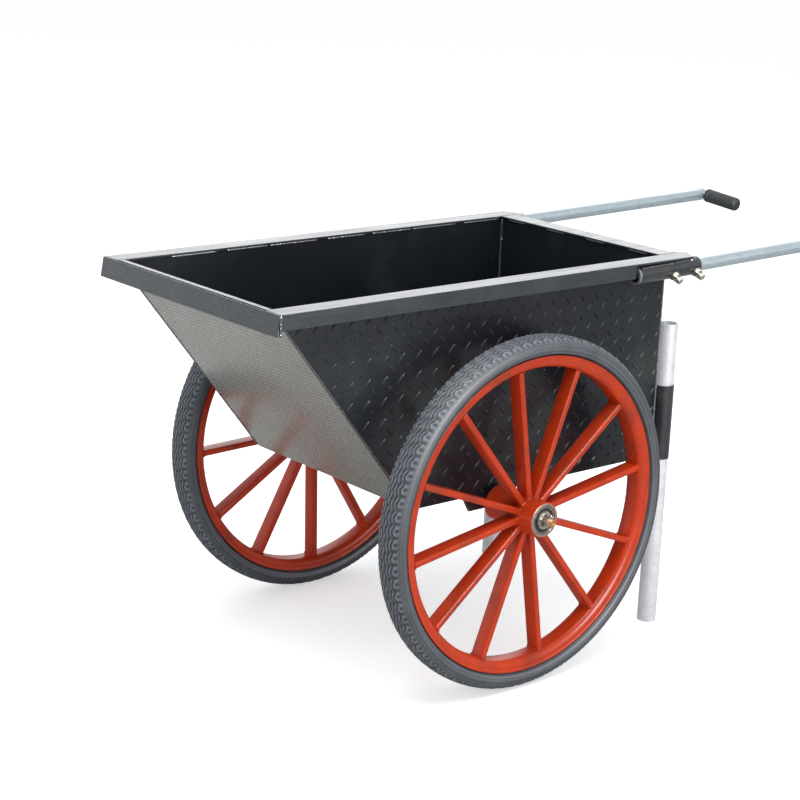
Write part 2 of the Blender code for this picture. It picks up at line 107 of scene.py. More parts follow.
# Tyre tread
TREAD_WAVES = 84
TREAD_DEPTH = 0.0030
TREAD_BAND = 0.0085  # how far below the crown the tread reaches
TREAD_LINES = (0.0, 0.0085, -0.0085, 0.0165, -0.0165)  # where the wavy grooves lie across the tyre
TREAD_GROOVE = 0.0012  # half width of a groove
TREAD_SWING = 0.0015
TYRE_STATIONS = 756

random.seed(41)


# Shapes -------------------------------------------------------------------------------------------------


class Shape:
    """Points and faces gathered for one piece, with the number of each face's finish."""

    def __init__(self):
        self.points = []
        self.faces = []
        self.finishes = []

    def add(self, solid, matrix=None, finish=0):
        """Adds a solid of points and faces. The finish is one number, or a list with one for each face."""
        points, faces = solid
        first = len(self.points)
        self.points += [tuple(matrix @ Vector(point)) if matrix else tuple(point) for point in points]
        self.faces += [[first + corner for corner in face] for face in faces]
        self.finishes += finish if isinstance(finish, list) else [finish] * len(faces)
        return self


def skin(rows, looped=False):
    """Closed rings of points joined in turn. The ends are capped, or with looped the last joins the first."""
    count = len(rows[0])
    points = [point for row in rows for point in row]
    faces = []
    for row in range(len(rows) if looped else len(rows) - 1):
        near, far = row * count, (row + 1) % len(rows) * count
        for here in range(count):
            after = (here + 1) % count
            faces.append((near + here, near + after, far + after, far + here))
    if not looped:
        last = (len(rows) - 1) * count
        faces += [tuple(range(count)), tuple(range(last, last + count))]
    return points, faces


def lathe(profile, count=96, looped=False):
    """A profile of (height, radius) turned about Z."""
    turns = [2 * math.pi * step / count for step in range(count)]
    rows = [[(r * math.cos(turn), r * math.sin(turn), z) for turn in turns] for z, r in profile]
    return skin(rows, looped)


def tube(low, high, radius, bore, count=64, ease=0.0006):
    """A pipe along Z with its four edges broken."""
    profile = [
        (low, bore + ease),
        (low, radius - ease),
        (low + ease, radius),
        (high - ease, radius),
        (high, radius - ease),
        (high, bore + ease),
        (high - ease, bore),
        (low + ease, bore),
    ]
    return lathe(profile, count, looped=True)


def hexagon(low, high, flats, count=60):
    """A nut or a bolt head along Z, whose corners are turned down at both ends."""
    corner = flats / math.cos(math.pi / 6)
    drop = 0.6 * (corner - flats)
    step = math.pi / 3
    limits = [(low, 0.94), (low + drop / 2, 0.98), (low + drop, 1.0)]
    limits += [(high - drop, 1.0), (high - drop / 2, 0.98), (high, 0.94)]
    rows = []
    for height, share in limits:
        row = []
        for index in range(count):
            turn = 2 * math.pi * index / count
            flat = flats / math.cos((turn + step / 2) % step - step / 2)
            radius = min(flat, corner * share)
            row.append((radius * math.cos(turn), radius * math.sin(turn), height))
        rows.append(row)
    return skin(rows)


def thread(low, high, radius, pitch=0.00125, count=32):
    """A screw's shank, with a ridge for each turn."""
    profile = [(low, radius - pitch / 2)]
    turns = max(1, int((high - low) / pitch))
    for turn in range(turns):
        profile.append((low + (turn + 0.25) * pitch, radius - pitch / 2))
        profile.append((low + (turn + 0.75) * pitch, radius))
    profile.append((high, radius - pitch))
    return lathe(profile, count)


def prism(outline, place, low, high):
    """An outline run from one depth to another; place turns (across, along, depth) into a point."""
    return skin([[place(u, v, depth) for u, v in outline] for depth in (low, high)])


def eased(solid, width, segments=2):
    """The same solid with its sharp edges rounded over."""
    points, faces = solid
    shape = bmesh.new()
    corners = [shape.verts.new(point) for point in points]
    for face in faces:
        shape.faces.new([corners[index] for index in face])
    bmesh.ops.recalc_face_normals(shape, faces=shape.faces)
    sharp = [e for e in shape.edges if len(e.link_faces) == 2 and e.calc_face_angle() > math.radians(30)]
    bmesh.ops.bevel(
        shape, geom=sharp, offset=width, offset_type="OFFSET", segments=segments, profile=0.5, affect="EDGES"
    )
    shape.verts.index_update()
    found = [v.co[:] for v in shape.verts], [[v.index for v in f.verts] for f in shape.faces]
    shape.free()
    return found


def node_solid(node):
    """A frame node's own solid, with its flat faces whole again."""
    shape = bmesh.new()
    shape.from_mesh(frame["nodes"][node].data)
    bmesh.ops.remove_doubles(shape, verts=shape.verts, dist=1e-5)
    bmesh.ops.dissolve_limit(shape, angle_limit=math.radians(1), verts=shape.verts, edges=shape.edges)
    shape.verts.index_update()
    found = [v.co[:] for v in shape.verts], [[v.index for v in f.verts] for f in shape.faces]
    shape.free()
    return found


def spread(path, step):
    """Points at even steps along a path."""
    path = [Vector(point) for point in path]
    found = [path[0]]
    for start, end in zip(path, path[1:]):
        count = max(1, round((end - start).length / step))
        found += [start.lerp(end, share / count) for share in range(1, count + 1)]
    return found


def rod(path, radii, sides=8):
    """A round rod along a path, closed at its ends. It takes one radius, or one for each point."""
    path = [Vector(point) for point in path]
    radii = radii if isinstance(radii, list) else [radii] * len(path)
    across = None
    rows = []
    for index, point in enumerate(path):
        along = (path[min(index + 1, len(path) - 1)] - path[max(index - 1, 0)]).normalized()
        start = across or (Z if abs(along.z) < 0.9 else X)
        across = (start - along * start.dot(along)).normalized()
        other = along.cross(across)
        turns = [2 * math.pi * side / sides for side in range(sides)]
        radius = radii[index]
        rows.append([point + (across * math.cos(t) + other * math.sin(t)) * radius for t in turns])
    return skin(rows)


def weld(path, radius=0.0018, step=0.0017):
    """A welded bead, with the ripples and small lumps that a weld pool leaves."""
    path = spread(path, step)
    radii = []
    for index in range(len(path)):
        ripple = 0.86 + 0.20 * (index % 2) + random.uniform(-0.10, 0.12)
        ends = min(1.0, 0.55 + 0.2 * min(index, len(path) - 1 - index))
        radii.append(radius * ripple * ends)
    return rod(path, radii, sides=7)


def stand(location, direction, roll=0.0):
    """The matrix that takes something turned about Z to this place and direction."""
    turn = Vector(direction).to_track_quat("Z", "Y").to_matrix().to_4x4()
    return Matrix.Translation(location) @ turn @ Matrix.Rotation(math.radians(roll), 4, "Z")


def bezier(corners, count):
    """Points on a smooth curve that passes through the given (u, v) corners."""
    ends = [corners[0], *corners, corners[-1]]
    found = []
    for a, b, c, d in zip(ends, ends[1:], ends[2:], ends[3:]):
        for step in range(count):
            t = step / count
            weights = (
                (-t + 2 * t * t - t**3) / 2,
                (2 - 5 * t * t + 3 * t**3) / 2,
                (t + 4 * t * t - 3 * t**3) / 2,
                (t**3 - t * t) / 2,
            )
            found.append(tuple(sum(w * p[k] for w, p in zip(weights, (a, b, c, d))) for k in (0, 1)))
    return found + [tuple(corners[-1])]


def piece(name, shape, finishes, body, nodes=(), flat=False, sharp=38):
    """One finished piece, which rides on a body and stands for the named nodes."""
    mesh = bpy.data.meshes.new(name)
    mesh.from_pydata(shape.points, [], shape.faces)
    for finish in finishes:
        mesh.materials.append(finish)
    mesh.polygons.foreach_set("material_index", shape.finishes)
    turned = bmesh.new()
    turned.from_mesh(mesh)
    bmesh.ops.recalc_face_normals(turned, faces=turned.faces)
    turned.to_mesh(mesh)
    turned.free()
    mesh.shade_smooth()
    mesh.set_sharp_from_angle(angle=math.radians(sharp))
    made = bpy.data.objects.new(name, mesh)
    bpy.context.scene.collection.objects.link(made)
    if flat:
        even = made.modifiers.new("even_normals", "WEIGHTED_NORMAL")
        even.keep_sharp = True
    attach(made, body)
    if nodes:
        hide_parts(*nodes)
    return made


# Finishes -----------------------------------------------------------------------------------------------


def feed(tree, socket, value):
    """Fills an input socket, with another node's output or with a constant."""
    if isinstance(value, bpy.types.NodeSocket):
        tree.links.new(value, socket)
    else:
        socket.default_value = value


def put(tree, kind, **values):
    """A node with some of its own settings, and of its input sockets, filled in."""
    made = tree.nodes.new(kind)
    for name, value in values.items():
        socket = made.inputs.get(name.replace("_", " "))
        if socket is None:
            setattr(made, name, value)
        else:
            feed(tree, socket, value)
    return made


def sums(tree, operation, first, second=0.5, clamp=False):
    """A Math node's output."""
    made = tree.nodes.new("ShaderNodeMath")
    made.operation = operation
    made.use_clamp = clamp
    for socket, value in zip(made.inputs, (first, second)):
        feed(tree, socket, value)
    return made.outputs[0]


def ramp(tree, value, low, high, start=0.0, end=1.0):
    """A value stretched so that low becomes start and high becomes end, and no further."""
    made = put(tree, "ShaderNodeMapRange", Value=value, From_Min=low, From_Max=high, To_Min=start, To_Max=end)
    return made.outputs["Result"]


def blend_colours(tree, share, first, second, how="MIX"):
    """Two colours mixed by a share."""
    made = tree.nodes.new("ShaderNodeMix")
    made.data_type = "RGBA"
    made.blend_type = how
    for index, value in ((0, share), (6, first), (7, second)):
        feed(tree, made.inputs[index], value)
    return made.outputs[2]


def noise(tree, place, scale, detail=3.0, rough=0.55):
    """A noise texture's value."""
    made = put(tree, "ShaderNodeTexNoise", Vector=place, Scale=scale, Detail=detail, Roughness=rough)
    return made.outputs[0]


def group(name, inputs, outputs):
    """An empty node group, with its sockets. Returns the tree, its input node and its output node."""
    tree = bpy.data.node_groups.new(name, "ShaderNodeTree")
    for kind, label, value in inputs:
        socket = tree.interface.new_socket(label, in_out="INPUT", socket_type=kind)
        socket.default_value = value
    for kind, label in outputs:
        tree.interface.new_socket(label, in_out="OUTPUT", socket_type=kind)
    return tree, tree.nodes.new("NodeGroupInput").outputs, tree.nodes.new("NodeGroupOutput").inputs


NUMBER, COLOUR, VECTOR = "NodeSocketFloat", "NodeSocketColor", "NodeSocketVector"
GREY = (0.5, 0.5, 0.5, 1.0)


def edge_wear_group():
    """Where edges are rubbed: the mask is 1 on bare edges and 0 on sound paint."""
    inputs = [(NUMBER, "Width", 0.002), (NUMBER, "Amount", 0.5), (NUMBER, "Scale", 60.0)]
    tree, given, result = group("edge wear", inputs, [(NUMBER, "Mask")])
    soft = put(tree, "ShaderNodeBevel", Radius=given["Width"])
    soft.samples = 4
    true = tree.nodes.new("ShaderNodeNewGeometry")
    lean = put(tree, "ShaderNodeVectorMath", operation="DOT_PRODUCT")
    tree.links.new(soft.outputs[0], lean.inputs[0])
    tree.links.new(true.outputs["Normal"], lean.inputs[1])
    edge = ramp(tree, lean.outputs["Value"], 0.995, 0.80)
    place = tree.nodes.new("ShaderNodeTexCoord").outputs["Object"]
    patchy = noise(tree, place, given["Scale"], detail=5.0, rough=0.65)
    reach = sums(tree, "MULTIPLY", edge, given["Amount"])
    both = sums(tree, "ADD", reach, sums(tree, "SUBTRACT", patchy, 0.62))
    tree.links.new(ramp(tree, both, 0.10, 0.22), result["Mask"])
    return tree


def dust_group():
    """Smudges over a colour, with a thin settled film where the surface looks up."""
    inputs = [
        (COLOUR, "Colour", GREY),
        (COLOUR, "Dust", GREY),
        (NUMBER, "Smudges", 0.5),
        (NUMBER, "Film", 0.1),
        (NUMBER, "Scale", 6.0),
    ]
    tree, given, result = group("dust and smudges", inputs, [(COLOUR, "Colour")])
    place = tree.nodes.new("ShaderNodeTexCoord").outputs["Object"]
    broad = noise(tree, place, given["Scale"], detail=6.0, rough=0.62)
    patch = ramp(tree, broad, 0.50, 0.68)
    up = put(tree, "ShaderNodeSeparateXYZ")
    tree.links.new(tree.nodes.new("ShaderNodeNewGeometry").outputs["Normal"], up.inputs[0])
    settled = sums(tree, "MULTIPLY", ramp(tree, up.outputs["Z"], 0.2, 0.95), given["Film"])
    mask = sums(tree, "ADD", sums(tree, "MULTIPLY", patch, given["Smudges"]), settled, clamp=True)
    tree.links.new(blend_colours(tree, mask, given["Colour"], given["Dust"]), result["Colour"])
    return tree


def grain_group():
    """A fine uneven surface: a height for bump, and a roughness that wanders round its middle."""
    inputs = [(NUMBER, "Scale", 400.0), (NUMBER, "Roughness", 0.4), (NUMBER, "Spread", 0.1)]
    tree, given, result = group("surface grain", inputs, [(NUMBER, "Roughness"), (NUMBER, "Height")])
    place = tree.nodes.new("ShaderNodeTexCoord").outputs["Object"]
    tree.links.new(noise(tree, place, given["Scale"], detail=3.0), result["Height"])
    broad = noise(tree, place, 9.0, detail=5.0, rough=0.6)
    swing = sums(tree, "MULTIPLY", sums(tree, "SUBTRACT", broad, 0.5), given["Spread"])
    tree.links.new(sums(tree, "ADD", given["Roughness"], swing, clamp=True), result["Roughness"])
    return tree


def streaks_group():
    """Fine lines along one direction: Stretch is how close together they lie along each axis."""
    inputs = [(VECTOR, "Stretch", (1.0, 1.0, 1.0)), (NUMBER, "Turn", 0.0)]
    tree, given, result = group("streaks", inputs, [(NUMBER, "Value")])
    place = tree.nodes.new("ShaderNodeTexCoord").outputs["Object"]
    turned = put(tree, "ShaderNodeVectorRotate", rotation_type="Y_AXIS", Vector=place, Angle=given["Turn"])
    long = put(tree, "ShaderNodeVectorMath", operation="MULTIPLY")
    tree.links.new(turned.outputs[0], long.inputs[0])
    tree.links.new(given["Stretch"], long.inputs[1])
    tree.links.new(noise(tree, long.outputs[0], 1.0, detail=4.0, rough=0.6), result["Value"])
    return tree


def rust_group():
    """Brown spots and stains over a colour."""
    inputs = [(COLOUR, "Colour", GREY), (NUMBER, "Amount", 0.5), (NUMBER, "Scale", 90.0)]
    tree, given, result = group("rust", inputs, [(COLOUR, "Colour"), (NUMBER, "Mask")])
    place = tree.nodes.new("ShaderNodeTexCoord").outputs["Object"]
    spots = noise(tree, place, given["Scale"], detail=6.0, rough=0.7)
    level = sums(tree, "MULTIPLY", ramp(tree, spots, 0.42, 0.66), given["Amount"], clamp=True)
    tint = blend_colours(
        tree, noise(tree, place, 300.0, detail=2.0), (0.30, 0.075, 0.015, 1.0), (0.10, 0.030, 0.012, 1.0)
    )
    tree.links.new(level, result["Mask"])
    tree.links.new(blend_colours(tree, level, given["Colour"], tint), result["Colour"])
    return tree


def painted_ridge_light_group():
    """Where a surface is ridged rather than grooved: 0 at the curvature Low and 1 at High. The mask places
    painted highlights on ridges and painted shade in grooves.
    """
    inputs = [(NUMBER, "Low", 0.45), (NUMBER, "High", 0.56)]
    tree, given, result = group("painted_ridge_and_groove_light", inputs, [(NUMBER, "Mask")])
    curve = tree.nodes.new("ShaderNodeNewGeometry").outputs["Pointiness"]
    level = put(tree, "ShaderNodeMapRange", Value=curve, From_Min=given["Low"], From_Max=given["High"])
    tree.links.new(level.outputs["Result"], result["Mask"])
    return tree


EDGE_WEAR = edge_wear_group()
RIDGE_AND_GROOVE_PAINTED_LIGHT = painted_ridge_light_group()
DUST = dust_group()
GRAIN = grain_group()
STREAKS = streaks_group()
RUST = rust_group()


class Finish:
    """One material being put together. Each step takes the colour so far and lays something over it."""

    def __init__(self, name, colour, metallic=0.0, **sockets):
        self.made = bpy.data.materials.new(name)
        self.made.use_nodes = True
        self.tree = self.made.node_tree
        self.shader = self.tree.nodes["Principled BSDF"]
        self.shader.inputs["Metallic"].default_value = metallic
        for label, value in sockets.items():
            self.shader.inputs[label.replace("_", " ")].default_value = value
        self.place = self.tree.nodes.new("ShaderNodeTexCoord").outputs["Object"]
        self.colour = (*colour, 1.0)
        self.metallic = metallic
        self.heights = []

    def use(self, effect, **values):
        """The outputs of an effect's group, placed here with these values."""
        made = self.tree.nodes.new("ShaderNodeGroup")
        made.node_tree = effect
        for label, value in values.items():
            feed(self.tree, made.inputs[label], value)
        return made.outputs

    def vary(self, other, scale=14.0, low=0.35, high=0.70):
        """A second tint in soft patches."""
        share = ramp(self.tree, noise(self.tree, self.place, scale, detail=4.0), low, high)
        self.colour = blend_colours(self.tree, share, self.colour, (*other, 1.0))
        return self

    def dust(self, colour, smudges, film, scale=6.0):
        """Smudges, and a thin film on top."""
        dirt = (*colour, 1.0)
        found = self.use(DUST, Colour=self.colour, Dust=dirt, Smudges=smudges, Film=film, Scale=scale)
        self.colour = found["Colour"]
        return self

    def wear(self, metal, width, amount, scale=60.0, shine=0.9):
        """Bare metal along the edges."""
        mask = self.use(EDGE_WEAR, Width=width, Amount=amount, Scale=scale)["Mask"]
        self.colour = blend_colours(self.tree, mask, self.colour, (*metal, 1.0))
        level = ramp(self.tree, mask, 0.0, 1.0, self.metallic, shine)
        self.tree.links.new(level, self.shader.inputs["Metallic"])
        return self

    def painted_ridge_and_groove_light(self, other, low, high):
        """Painted light by curvature: another tint laid on the raised lines of a pattern as a painted
        highlight; where low is above high it goes in the grooves instead, as painted shade.
        """
        mask = self.use(RIDGE_AND_GROOVE_PAINTED_LIGHT, Low=low, High=high)["Mask"]
        self.colour = blend_colours(self.tree, mask, self.colour, (*other, 1.0))
        return self

    def coat_streaks(self, stretch, low, high):
        """Gloss that comes and goes in lines."""
        value = self.use(STREAKS, Stretch=stretch)["Value"]
        self.tree.links.new(ramp(self.tree, value, 0.40, 0.60, low, high), self.shader.inputs["Coat Weight"])
        return self

    def rust(self, amount, scale=90.0):
        """Rust spots, which are not metallic."""
        found = self.use(RUST, Colour=self.colour, Amount=amount, Scale=scale)
        self.colour = found["Colour"]
        level = ramp(self.tree, found["Mask"], 0.0, 1.0, self.metallic, 0.0)
        self.tree.links.new(level, self.shader.inputs["Metallic"])
        return self

    def streak(self, other, stretch, turn=0.0, low=0.40, high=0.70, bump=0.0):
        """A second tint in fine lines, which can also stand up a little."""
        value = self.use(STREAKS, Stretch=stretch, Turn=turn)["Value"]
        self.colour = blend_colours(self.tree, ramp(self.tree, value, low, high), self.colour, (*other, 1.0))
        if bump:
            self.heights.append((value, bump))
        return self

    def grain(self, roughness, spread=0.1, scale=400.0, bump=0.00005):
        """Fine bumps, and a roughness that wanders."""
        found = self.use(GRAIN, Roughness=roughness, Spread=spread, Scale=scale)
        self.tree.links.new(found["Roughness"], self.shader.inputs["Roughness"])
        self.heights.append((found["Height"], bump))
        return self

    def waves(self, scale, bump):
        """Slow unevenness of sheet metal."""
        self.heights.append((noise(self.tree, self.place, scale, detail=2.0), bump))
        return self

    def done(self):
        """The material, with its colour and its chain of bumps joined up."""
        feed(self.tree, self.shader.inputs["Base Color"], self.colour)
        last = self.shader.inputs["Normal"]
        for height, depth in reversed(self.heights):
            bump = put(self.tree, "ShaderNodeBump", Height=height, Distance=depth)
            self.tree.links.new(bump.outputs["Normal"], last)
            last = bump.inputs["Normal"]
        return self.made


def plate_paint():
    """Black paint on the chequer plates."""
    black = (0.0075, 0.0095, 0.0140)
    made = Finish("plate paint", black, Specular_IOR_Level=0.40, Coat_Weight=0.30, Coat_Roughness=0.12)
    made.vary((0.012, 0.0148, 0.019), scale=5.0)
    made.dust((0.040, 0.046, 0.043), 0.75, 0.03, scale=4.0)
    made.wear((0.30, 0.31, 0.33), 0.0008, 0.24, scale=45.0)
    return made.grain(0.30, spread=0.20, scale=700.0).waves(4.0, 0.0010).done()


def rim_paint():
    """Dark grey gloss on the angle iron, which mirrors the sky on its flat tops."""
    made = Finish("rim paint", (0.016, 0.020, 0.026), Coat_Weight=0.8, Coat_Roughness=0.16, Coat_IOR=1.5)
    made.vary((0.026, 0.031, 0.038), scale=9.0)
    made.streak((0.028, 0.034, 0.042), (18.0, 260.0, 260.0), low=0.45, high=0.75, bump=0.00012)
    made.coat_streaks((5.0, 190.0, 190.0), 0.95, 0.40)
    made.dust((0.070, 0.078, 0.086), 0.25, 0.15, scale=12.0)
    made.wear((0.50, 0.52, 0.55), 0.0013, 0.55, scale=70.0)
    return made.grain(0.36, spread=0.25, scale=500.0).waves(7.0, 0.0008).done()


def tube_paint():
    """Black gloss of the sockets, the leg sleeves and the brackets."""
    made = Finish("black gloss", (0.011, 0.013, 0.017), Coat_Weight=0.8, Coat_Roughness=0.14)
    made.vary((0.020, 0.023, 0.027), scale=30.0)
    made.dust((0.07, 0.07, 0.065), 0.35, 0.15, scale=20.0)
    made.wear((0.55, 0.55, 0.54), 0.0012, 0.62, scale=120.0)
    return made.grain(0.34, spread=0.25, scale=600.0).done()


def shade(colour, red, green, blue):
    """A colour with each of its channels dimmed by its own share."""
    return colour[0] * red, colour[1] * green, colour[2] * blue


def sheet_finish(name, colour):
    """Light grey rolled sheet with fine lines down the slope. Part of its lightness is painted reflection of
    the pale floor, which the sheet mirrors at a grazing angle.
    """
    lean = math.atan2(FRONT_LEAN.x, FRONT_LEAN.z)
    made = Finish(name, colour, metallic=0.72)
    made.vary(shade(colour, 0.88, 0.88, 0.87), scale=7.0)
    made.streak(shade(colour, 0.70, 0.70, 0.68), (420.0, 420.0, 150.0), turn=-lean, low=0.46, high=0.62)
    made.dust(shade(colour, 0.66, 0.64, 0.58), 0.30, 0.05, scale=9.0)
    made.wear((0.80, 0.80, 0.78), 0.0012, 0.50, scale=50.0)
    return made.grain(0.22, spread=0.10, scale=500.0, bump=0.00003).done()


def wheel_paint():
    """Orange-red gloss, browner where dirt collects."""
    red = (0.56, 0.040, 0.004)
    made = Finish("wheel paint", red, Specular_IOR_Level=0.22, Coat_Weight=0.25, Coat_Roughness=0.12)
    made.vary((0.44, 0.030, 0.004), scale=16.0)
    made.dust((0.19, 0.036, 0.016), 0.50, 0.05, scale=22.0)
    made.wear((0.30, 0.14, 0.09), 0.0012, 0.36, scale=110.0, shine=0.2)
    return made.grain(0.34, spread=0.25, scale=350.0, bump=0.00008).done()


def tyre_rubber():
    """Dark grey rubber with road dust in the tread, painted shade darkening the grooves and a pale bluish
    painted highlight on the tread's ridges.
    """
    made = Finish("tyre rubber", (0.036, 0.041, 0.048), Specular_IOR_Level=0.7)
    made.vary((0.052, 0.059, 0.067), scale=18.0)
    made.dust((0.12, 0.130, 0.143), 0.25, 0.22, scale=30.0)
    # Painted shade: near-black in the tread's grooves, where the curvature is concave.
    made.painted_ridge_and_groove_light((0.006, 0.007, 0.009), 0.49, 0.42)
    # Painted highlight: pale bluish grey on the tread's ridges.
    made.painted_ridge_and_groove_light((0.34, 0.38, 0.45), 0.505, 0.60)
    return made.grain(0.46, spread=0.25, scale=900.0, bump=0.00010).done()


def galvanised(name, colour, metallic):
    """Zinc-coated tube with a faint spangle."""
    made = Finish(name, colour, metallic=metallic, Coat_Weight=0.3, Coat_Roughness=0.2)
    made.vary(shade(colour, 0.88, 0.88, 0.88), scale=45.0)
    made.streak(shade(colour, 0.80, 0.80, 0.80), (40.0, 160.0, 160.0), low=0.50, high=0.78)
    made.dust(shade(colour, 0.78, 0.76, 0.74), 0.25, 0.10, scale=18.0)
    made.wear((0.38, 0.39, 0.40), 0.0010, 0.40, scale=150.0)
    return made.grain(0.36, spread=0.16, scale=260.0, bump=0.00006).done()


def bearing_steel():
    """Polished bearing races, a little rusted."""
    made = Finish("bearing steel", (0.60, 0.59, 0.56), metallic=1.0)
    made.vary((0.42, 0.41, 0.39), scale=120.0)
    made.rust(0.35, scale=160.0)
    return made.grain(0.26, spread=0.2, scale=700.0, bump=0.00004).done()


def hub_face():
    """Machined end of the hub, with paint haze over the steel."""
    made = Finish("hub face", (0.45, 0.40, 0.36), metallic=0.8)
    made.vary((0.42, 0.20, 0.12), scale=130.0, low=0.50, high=0.72)
    made.rust(0.35, scale=120.0)
    return made.grain(0.34, spread=0.2, scale=600.0).done()


def seal_rubber():
    """Black bearing seals, dusty."""
    made = Finish("bearing seal", (0.022, 0.026, 0.026))
    made.dust((0.08, 0.085, 0.08), 0.6, 0.2, scale=150.0)
    return made.grain(0.45, spread=0.2, scale=900.0).done()


def axle_steel():
    """Bare bar with oil and mill scale."""
    made = Finish("axle steel", (0.32, 0.32, 0.27), metallic=0.8)
    made.vary((0.20, 0.20, 0.16), scale=60.0)
    made.rust(0.45, scale=80.0)
    made.wear((0.75, 0.74, 0.70), 0.0010, 0.5, scale=150.0)
    return made.grain(0.38, spread=0.2, scale=500.0).done()


def zinc():
    """Plated fasteners with stained edges."""
    made = Finish("zinc plate", (0.72, 0.70, 0.64), metallic=0.95)
    made.vary((0.55, 0.52, 0.44), scale=150.0)
    made.rust(0.30, scale=220.0)
    return made.grain(0.27, spread=0.2, scale=800.0, bump=0.00004).done()


def rusty_thread():
    """The axle's threaded ends, orange with rust and bright where they are rubbed."""
    made = Finish("rusted thread", (0.62, 0.34, 0.14), metallic=0.6)
    made.vary((0.62, 0.20, 0.035), scale=150.0)
    made.rust(0.45, scale=120.0)
    made.wear((0.90, 0.86, 0.76), 0.0010, 0.6, scale=160.0)
    return made.grain(0.32, spread=0.25, scale=500.0).done()


def nut_steel():
    """Axle nuts: grey steel, with rust in patches."""
    made = Finish("nut steel", (0.62, 0.60, 0.57), metallic=0.95)
    made.vary((0.30, 0.25, 0.22), scale=130.0, low=0.45, high=0.65)
    made.rust(0.40, scale=170.0)
    made.wear((0.90, 0.88, 0.84), 0.0010, 0.7, scale=160.0)
    return made.grain(0.24, spread=0.2, scale=500.0).done()


def ground_steel():
    """Cut ends and ground welds, with the paint rubbed thin over the metal. On the socket mouths its lighter
    grey also stands as a painted highlight.
    """
    made = Finish("ground steel", (0.34, 0.36, 0.38), metallic=0.5)
    made.vary((0.16, 0.17, 0.19), scale=110.0)
    made.rust(0.18, scale=140.0)
    return made.grain(0.34, spread=0.2, scale=600.0).done()


def grip_rubber():
    """Black moulded rubber with pale dust between the ribs."""
    made = Finish("grip rubber", (0.020, 0.022, 0.024))
    made.vary((0.032, 0.035, 0.037), scale=60.0)
    made.dust((0.09, 0.095, 0.095), 0.35, 0.20, scale=50.0)
    return made.grain(0.55, spread=0.2, scale=900.0, bump=0.00008).done()


PLATE_PAINT = plate_paint()
RIM_PAINT = rim_paint()
TUBE_PAINT = tube_paint()
# The front sheet's light grey is partly its own metal and partly painted reflection of the pale floor.
SHEET = sheet_finish("front sheet", (0.48, 0.48, 0.44))
# The raised strokes take a near-white copy of the sheet finish: partly rubbed metal, partly a painted
# highlight on each stroke.
SHEET_TOPS = sheet_finish("rubbed and highlighted sheet tops", (0.97, 0.97, 0.90))
WHEEL_PAINT = wheel_paint()
TYRE_RUBBER = tyre_rubber()
POLE_ZINC = galvanised("galvanised pole", (0.64, 0.75, 0.79), 0.80)
LEG_ZINC = galvanised("galvanised leg", (0.88, 0.89, 0.91), 0.25)
BEARING_STEEL = bearing_steel()
HUB_FACE = hub_face()
SEAL = seal_rubber()
AXLE_STEEL = axle_steel()
ZINC = zinc()
RUSTY = rusty_thread()
NUT_STEEL = nut_steel()
GROUND = ground_steel()
GRIP_RUBBER = grip_rubber()


# Tub ----------------------------------------------------------------------------------------------------


def inside(outline, u, v, margin):
    """Whether a point is inside a convex outline that runs counterclockwise, and this far from its edges."""
    for (au, av), (bu, bv) in zip(outline, outline[1:] + outline[:1]):
        away = ((bu - au) * (v - av) - (bv - av) * (u - au)) / math.hypot(bu - au, bv - av)
        if away < margin:
            return False
    return True


def corners_of(low_u, low_v, high_u, high_v):
    """A rectangle's outline, counterclockwise."""
    return [(low_u, low_v), (high_u, low_v), (high_u, high_v), (low_u, high_v)]


def raised_dash(centre, lean, length, width, height, place, outline, stations=8, ridged=False):
    """One raised lens of a rolled pattern, cut short where the plate ends, or None if little is left."""
    along = (math.cos(lean), math.sin(lean))
    spots = [-0.97 + 1.94 * step / (stations - 1) for step in range(stations)]
    kept = []
    for share in spots:
        u = centre[0] + along[0] * share * length / 2
        v = centre[1] + along[1] * share * length / 2
        if inside(outline, u, v, width / 2):
            kept.append((share, u, v))
    if len(kept) < max(2, stations // 2):
        return None
    sunk = -0.0003
    rows = []
    for share, u, v in kept:
        half = width / 2 * (1 - share * share) ** 0.65
        top = height * (1 - share * share) ** 0.45
        crest = ((0.0, top),) if ridged else ((-half * 0.28, top), (half * 0.28, top))
        section = ((-half, sunk), *crest, (half, sunk))
        rows.append([place(u - along[1] * off, v + along[0] * off, out) for off, out in section])
    return skin(rows)


def rolled_pattern(shape, outline, place):
    """The chequer plate's two crossed sets of dashes over an outline."""
    us = [u for u, v in outline]
    vs = [v for u, v in outline]
    first_column = math.floor((min(us) - AXLE_CENTRE.x) / DASH_PITCH) - 1
    columns = int((max(us) - min(us)) / DASH_PITCH) + 3
    rows = int((max(vs) - min(vs)) / DASH_PITCH) + 3
    for shift, lean in ((0.0, 180.0 - DASH_LEAN), (DASH_PITCH / 2, DASH_LEAN)):
        angle = math.radians(lean)
        for column in range(first_column, first_column + columns):
            for row in range(-1, rows):
                u = AXLE_CENTRE.x + DASH_COLUMN + shift + column * DASH_PITCH
                v = max(vs) - (SIDE_HIGH.z - DASH_ROW) + shift - row * DASH_PITCH
                solid = raised_dash((u, v), angle, DASH_LENGTH, DASH_WIDTH, DASH_HEIGHT, place, outline)
                if solid:
                    shape.add(solid)


def chequer_plate(name, node, outline, place):
    """A flat plate with its edges eased and its outer face rolled."""
    shape = Shape().add(eased(prism(outline, place, -PLATE, 0.0), 0.0007))
    rolled_pattern(shape, outline, place)
    piece(name, shape, [PLATE_PAINT], "tub", [node], flat=True)


def build_side_plates():
    outline = [
        (SIDE_LOW.x, SIDE_LOW.z),
        (FLOOR_HIGH.x, SIDE_LOW.z),
        (SIDE_HIGH.x, SIDE_HIGH.z),
        (SIDE_LOW.x, SIDE_HIGH.z),
    ]
    for name, hand in LEFT_OR_RIGHT:

        def place(u, v, out, hand=hand):
            return Vector((u, hand * (SIDE_HIGH.y + out), v))

        chequer_plate(f"chequer_side_{name}", f"side_plate_{name}", outline, place)


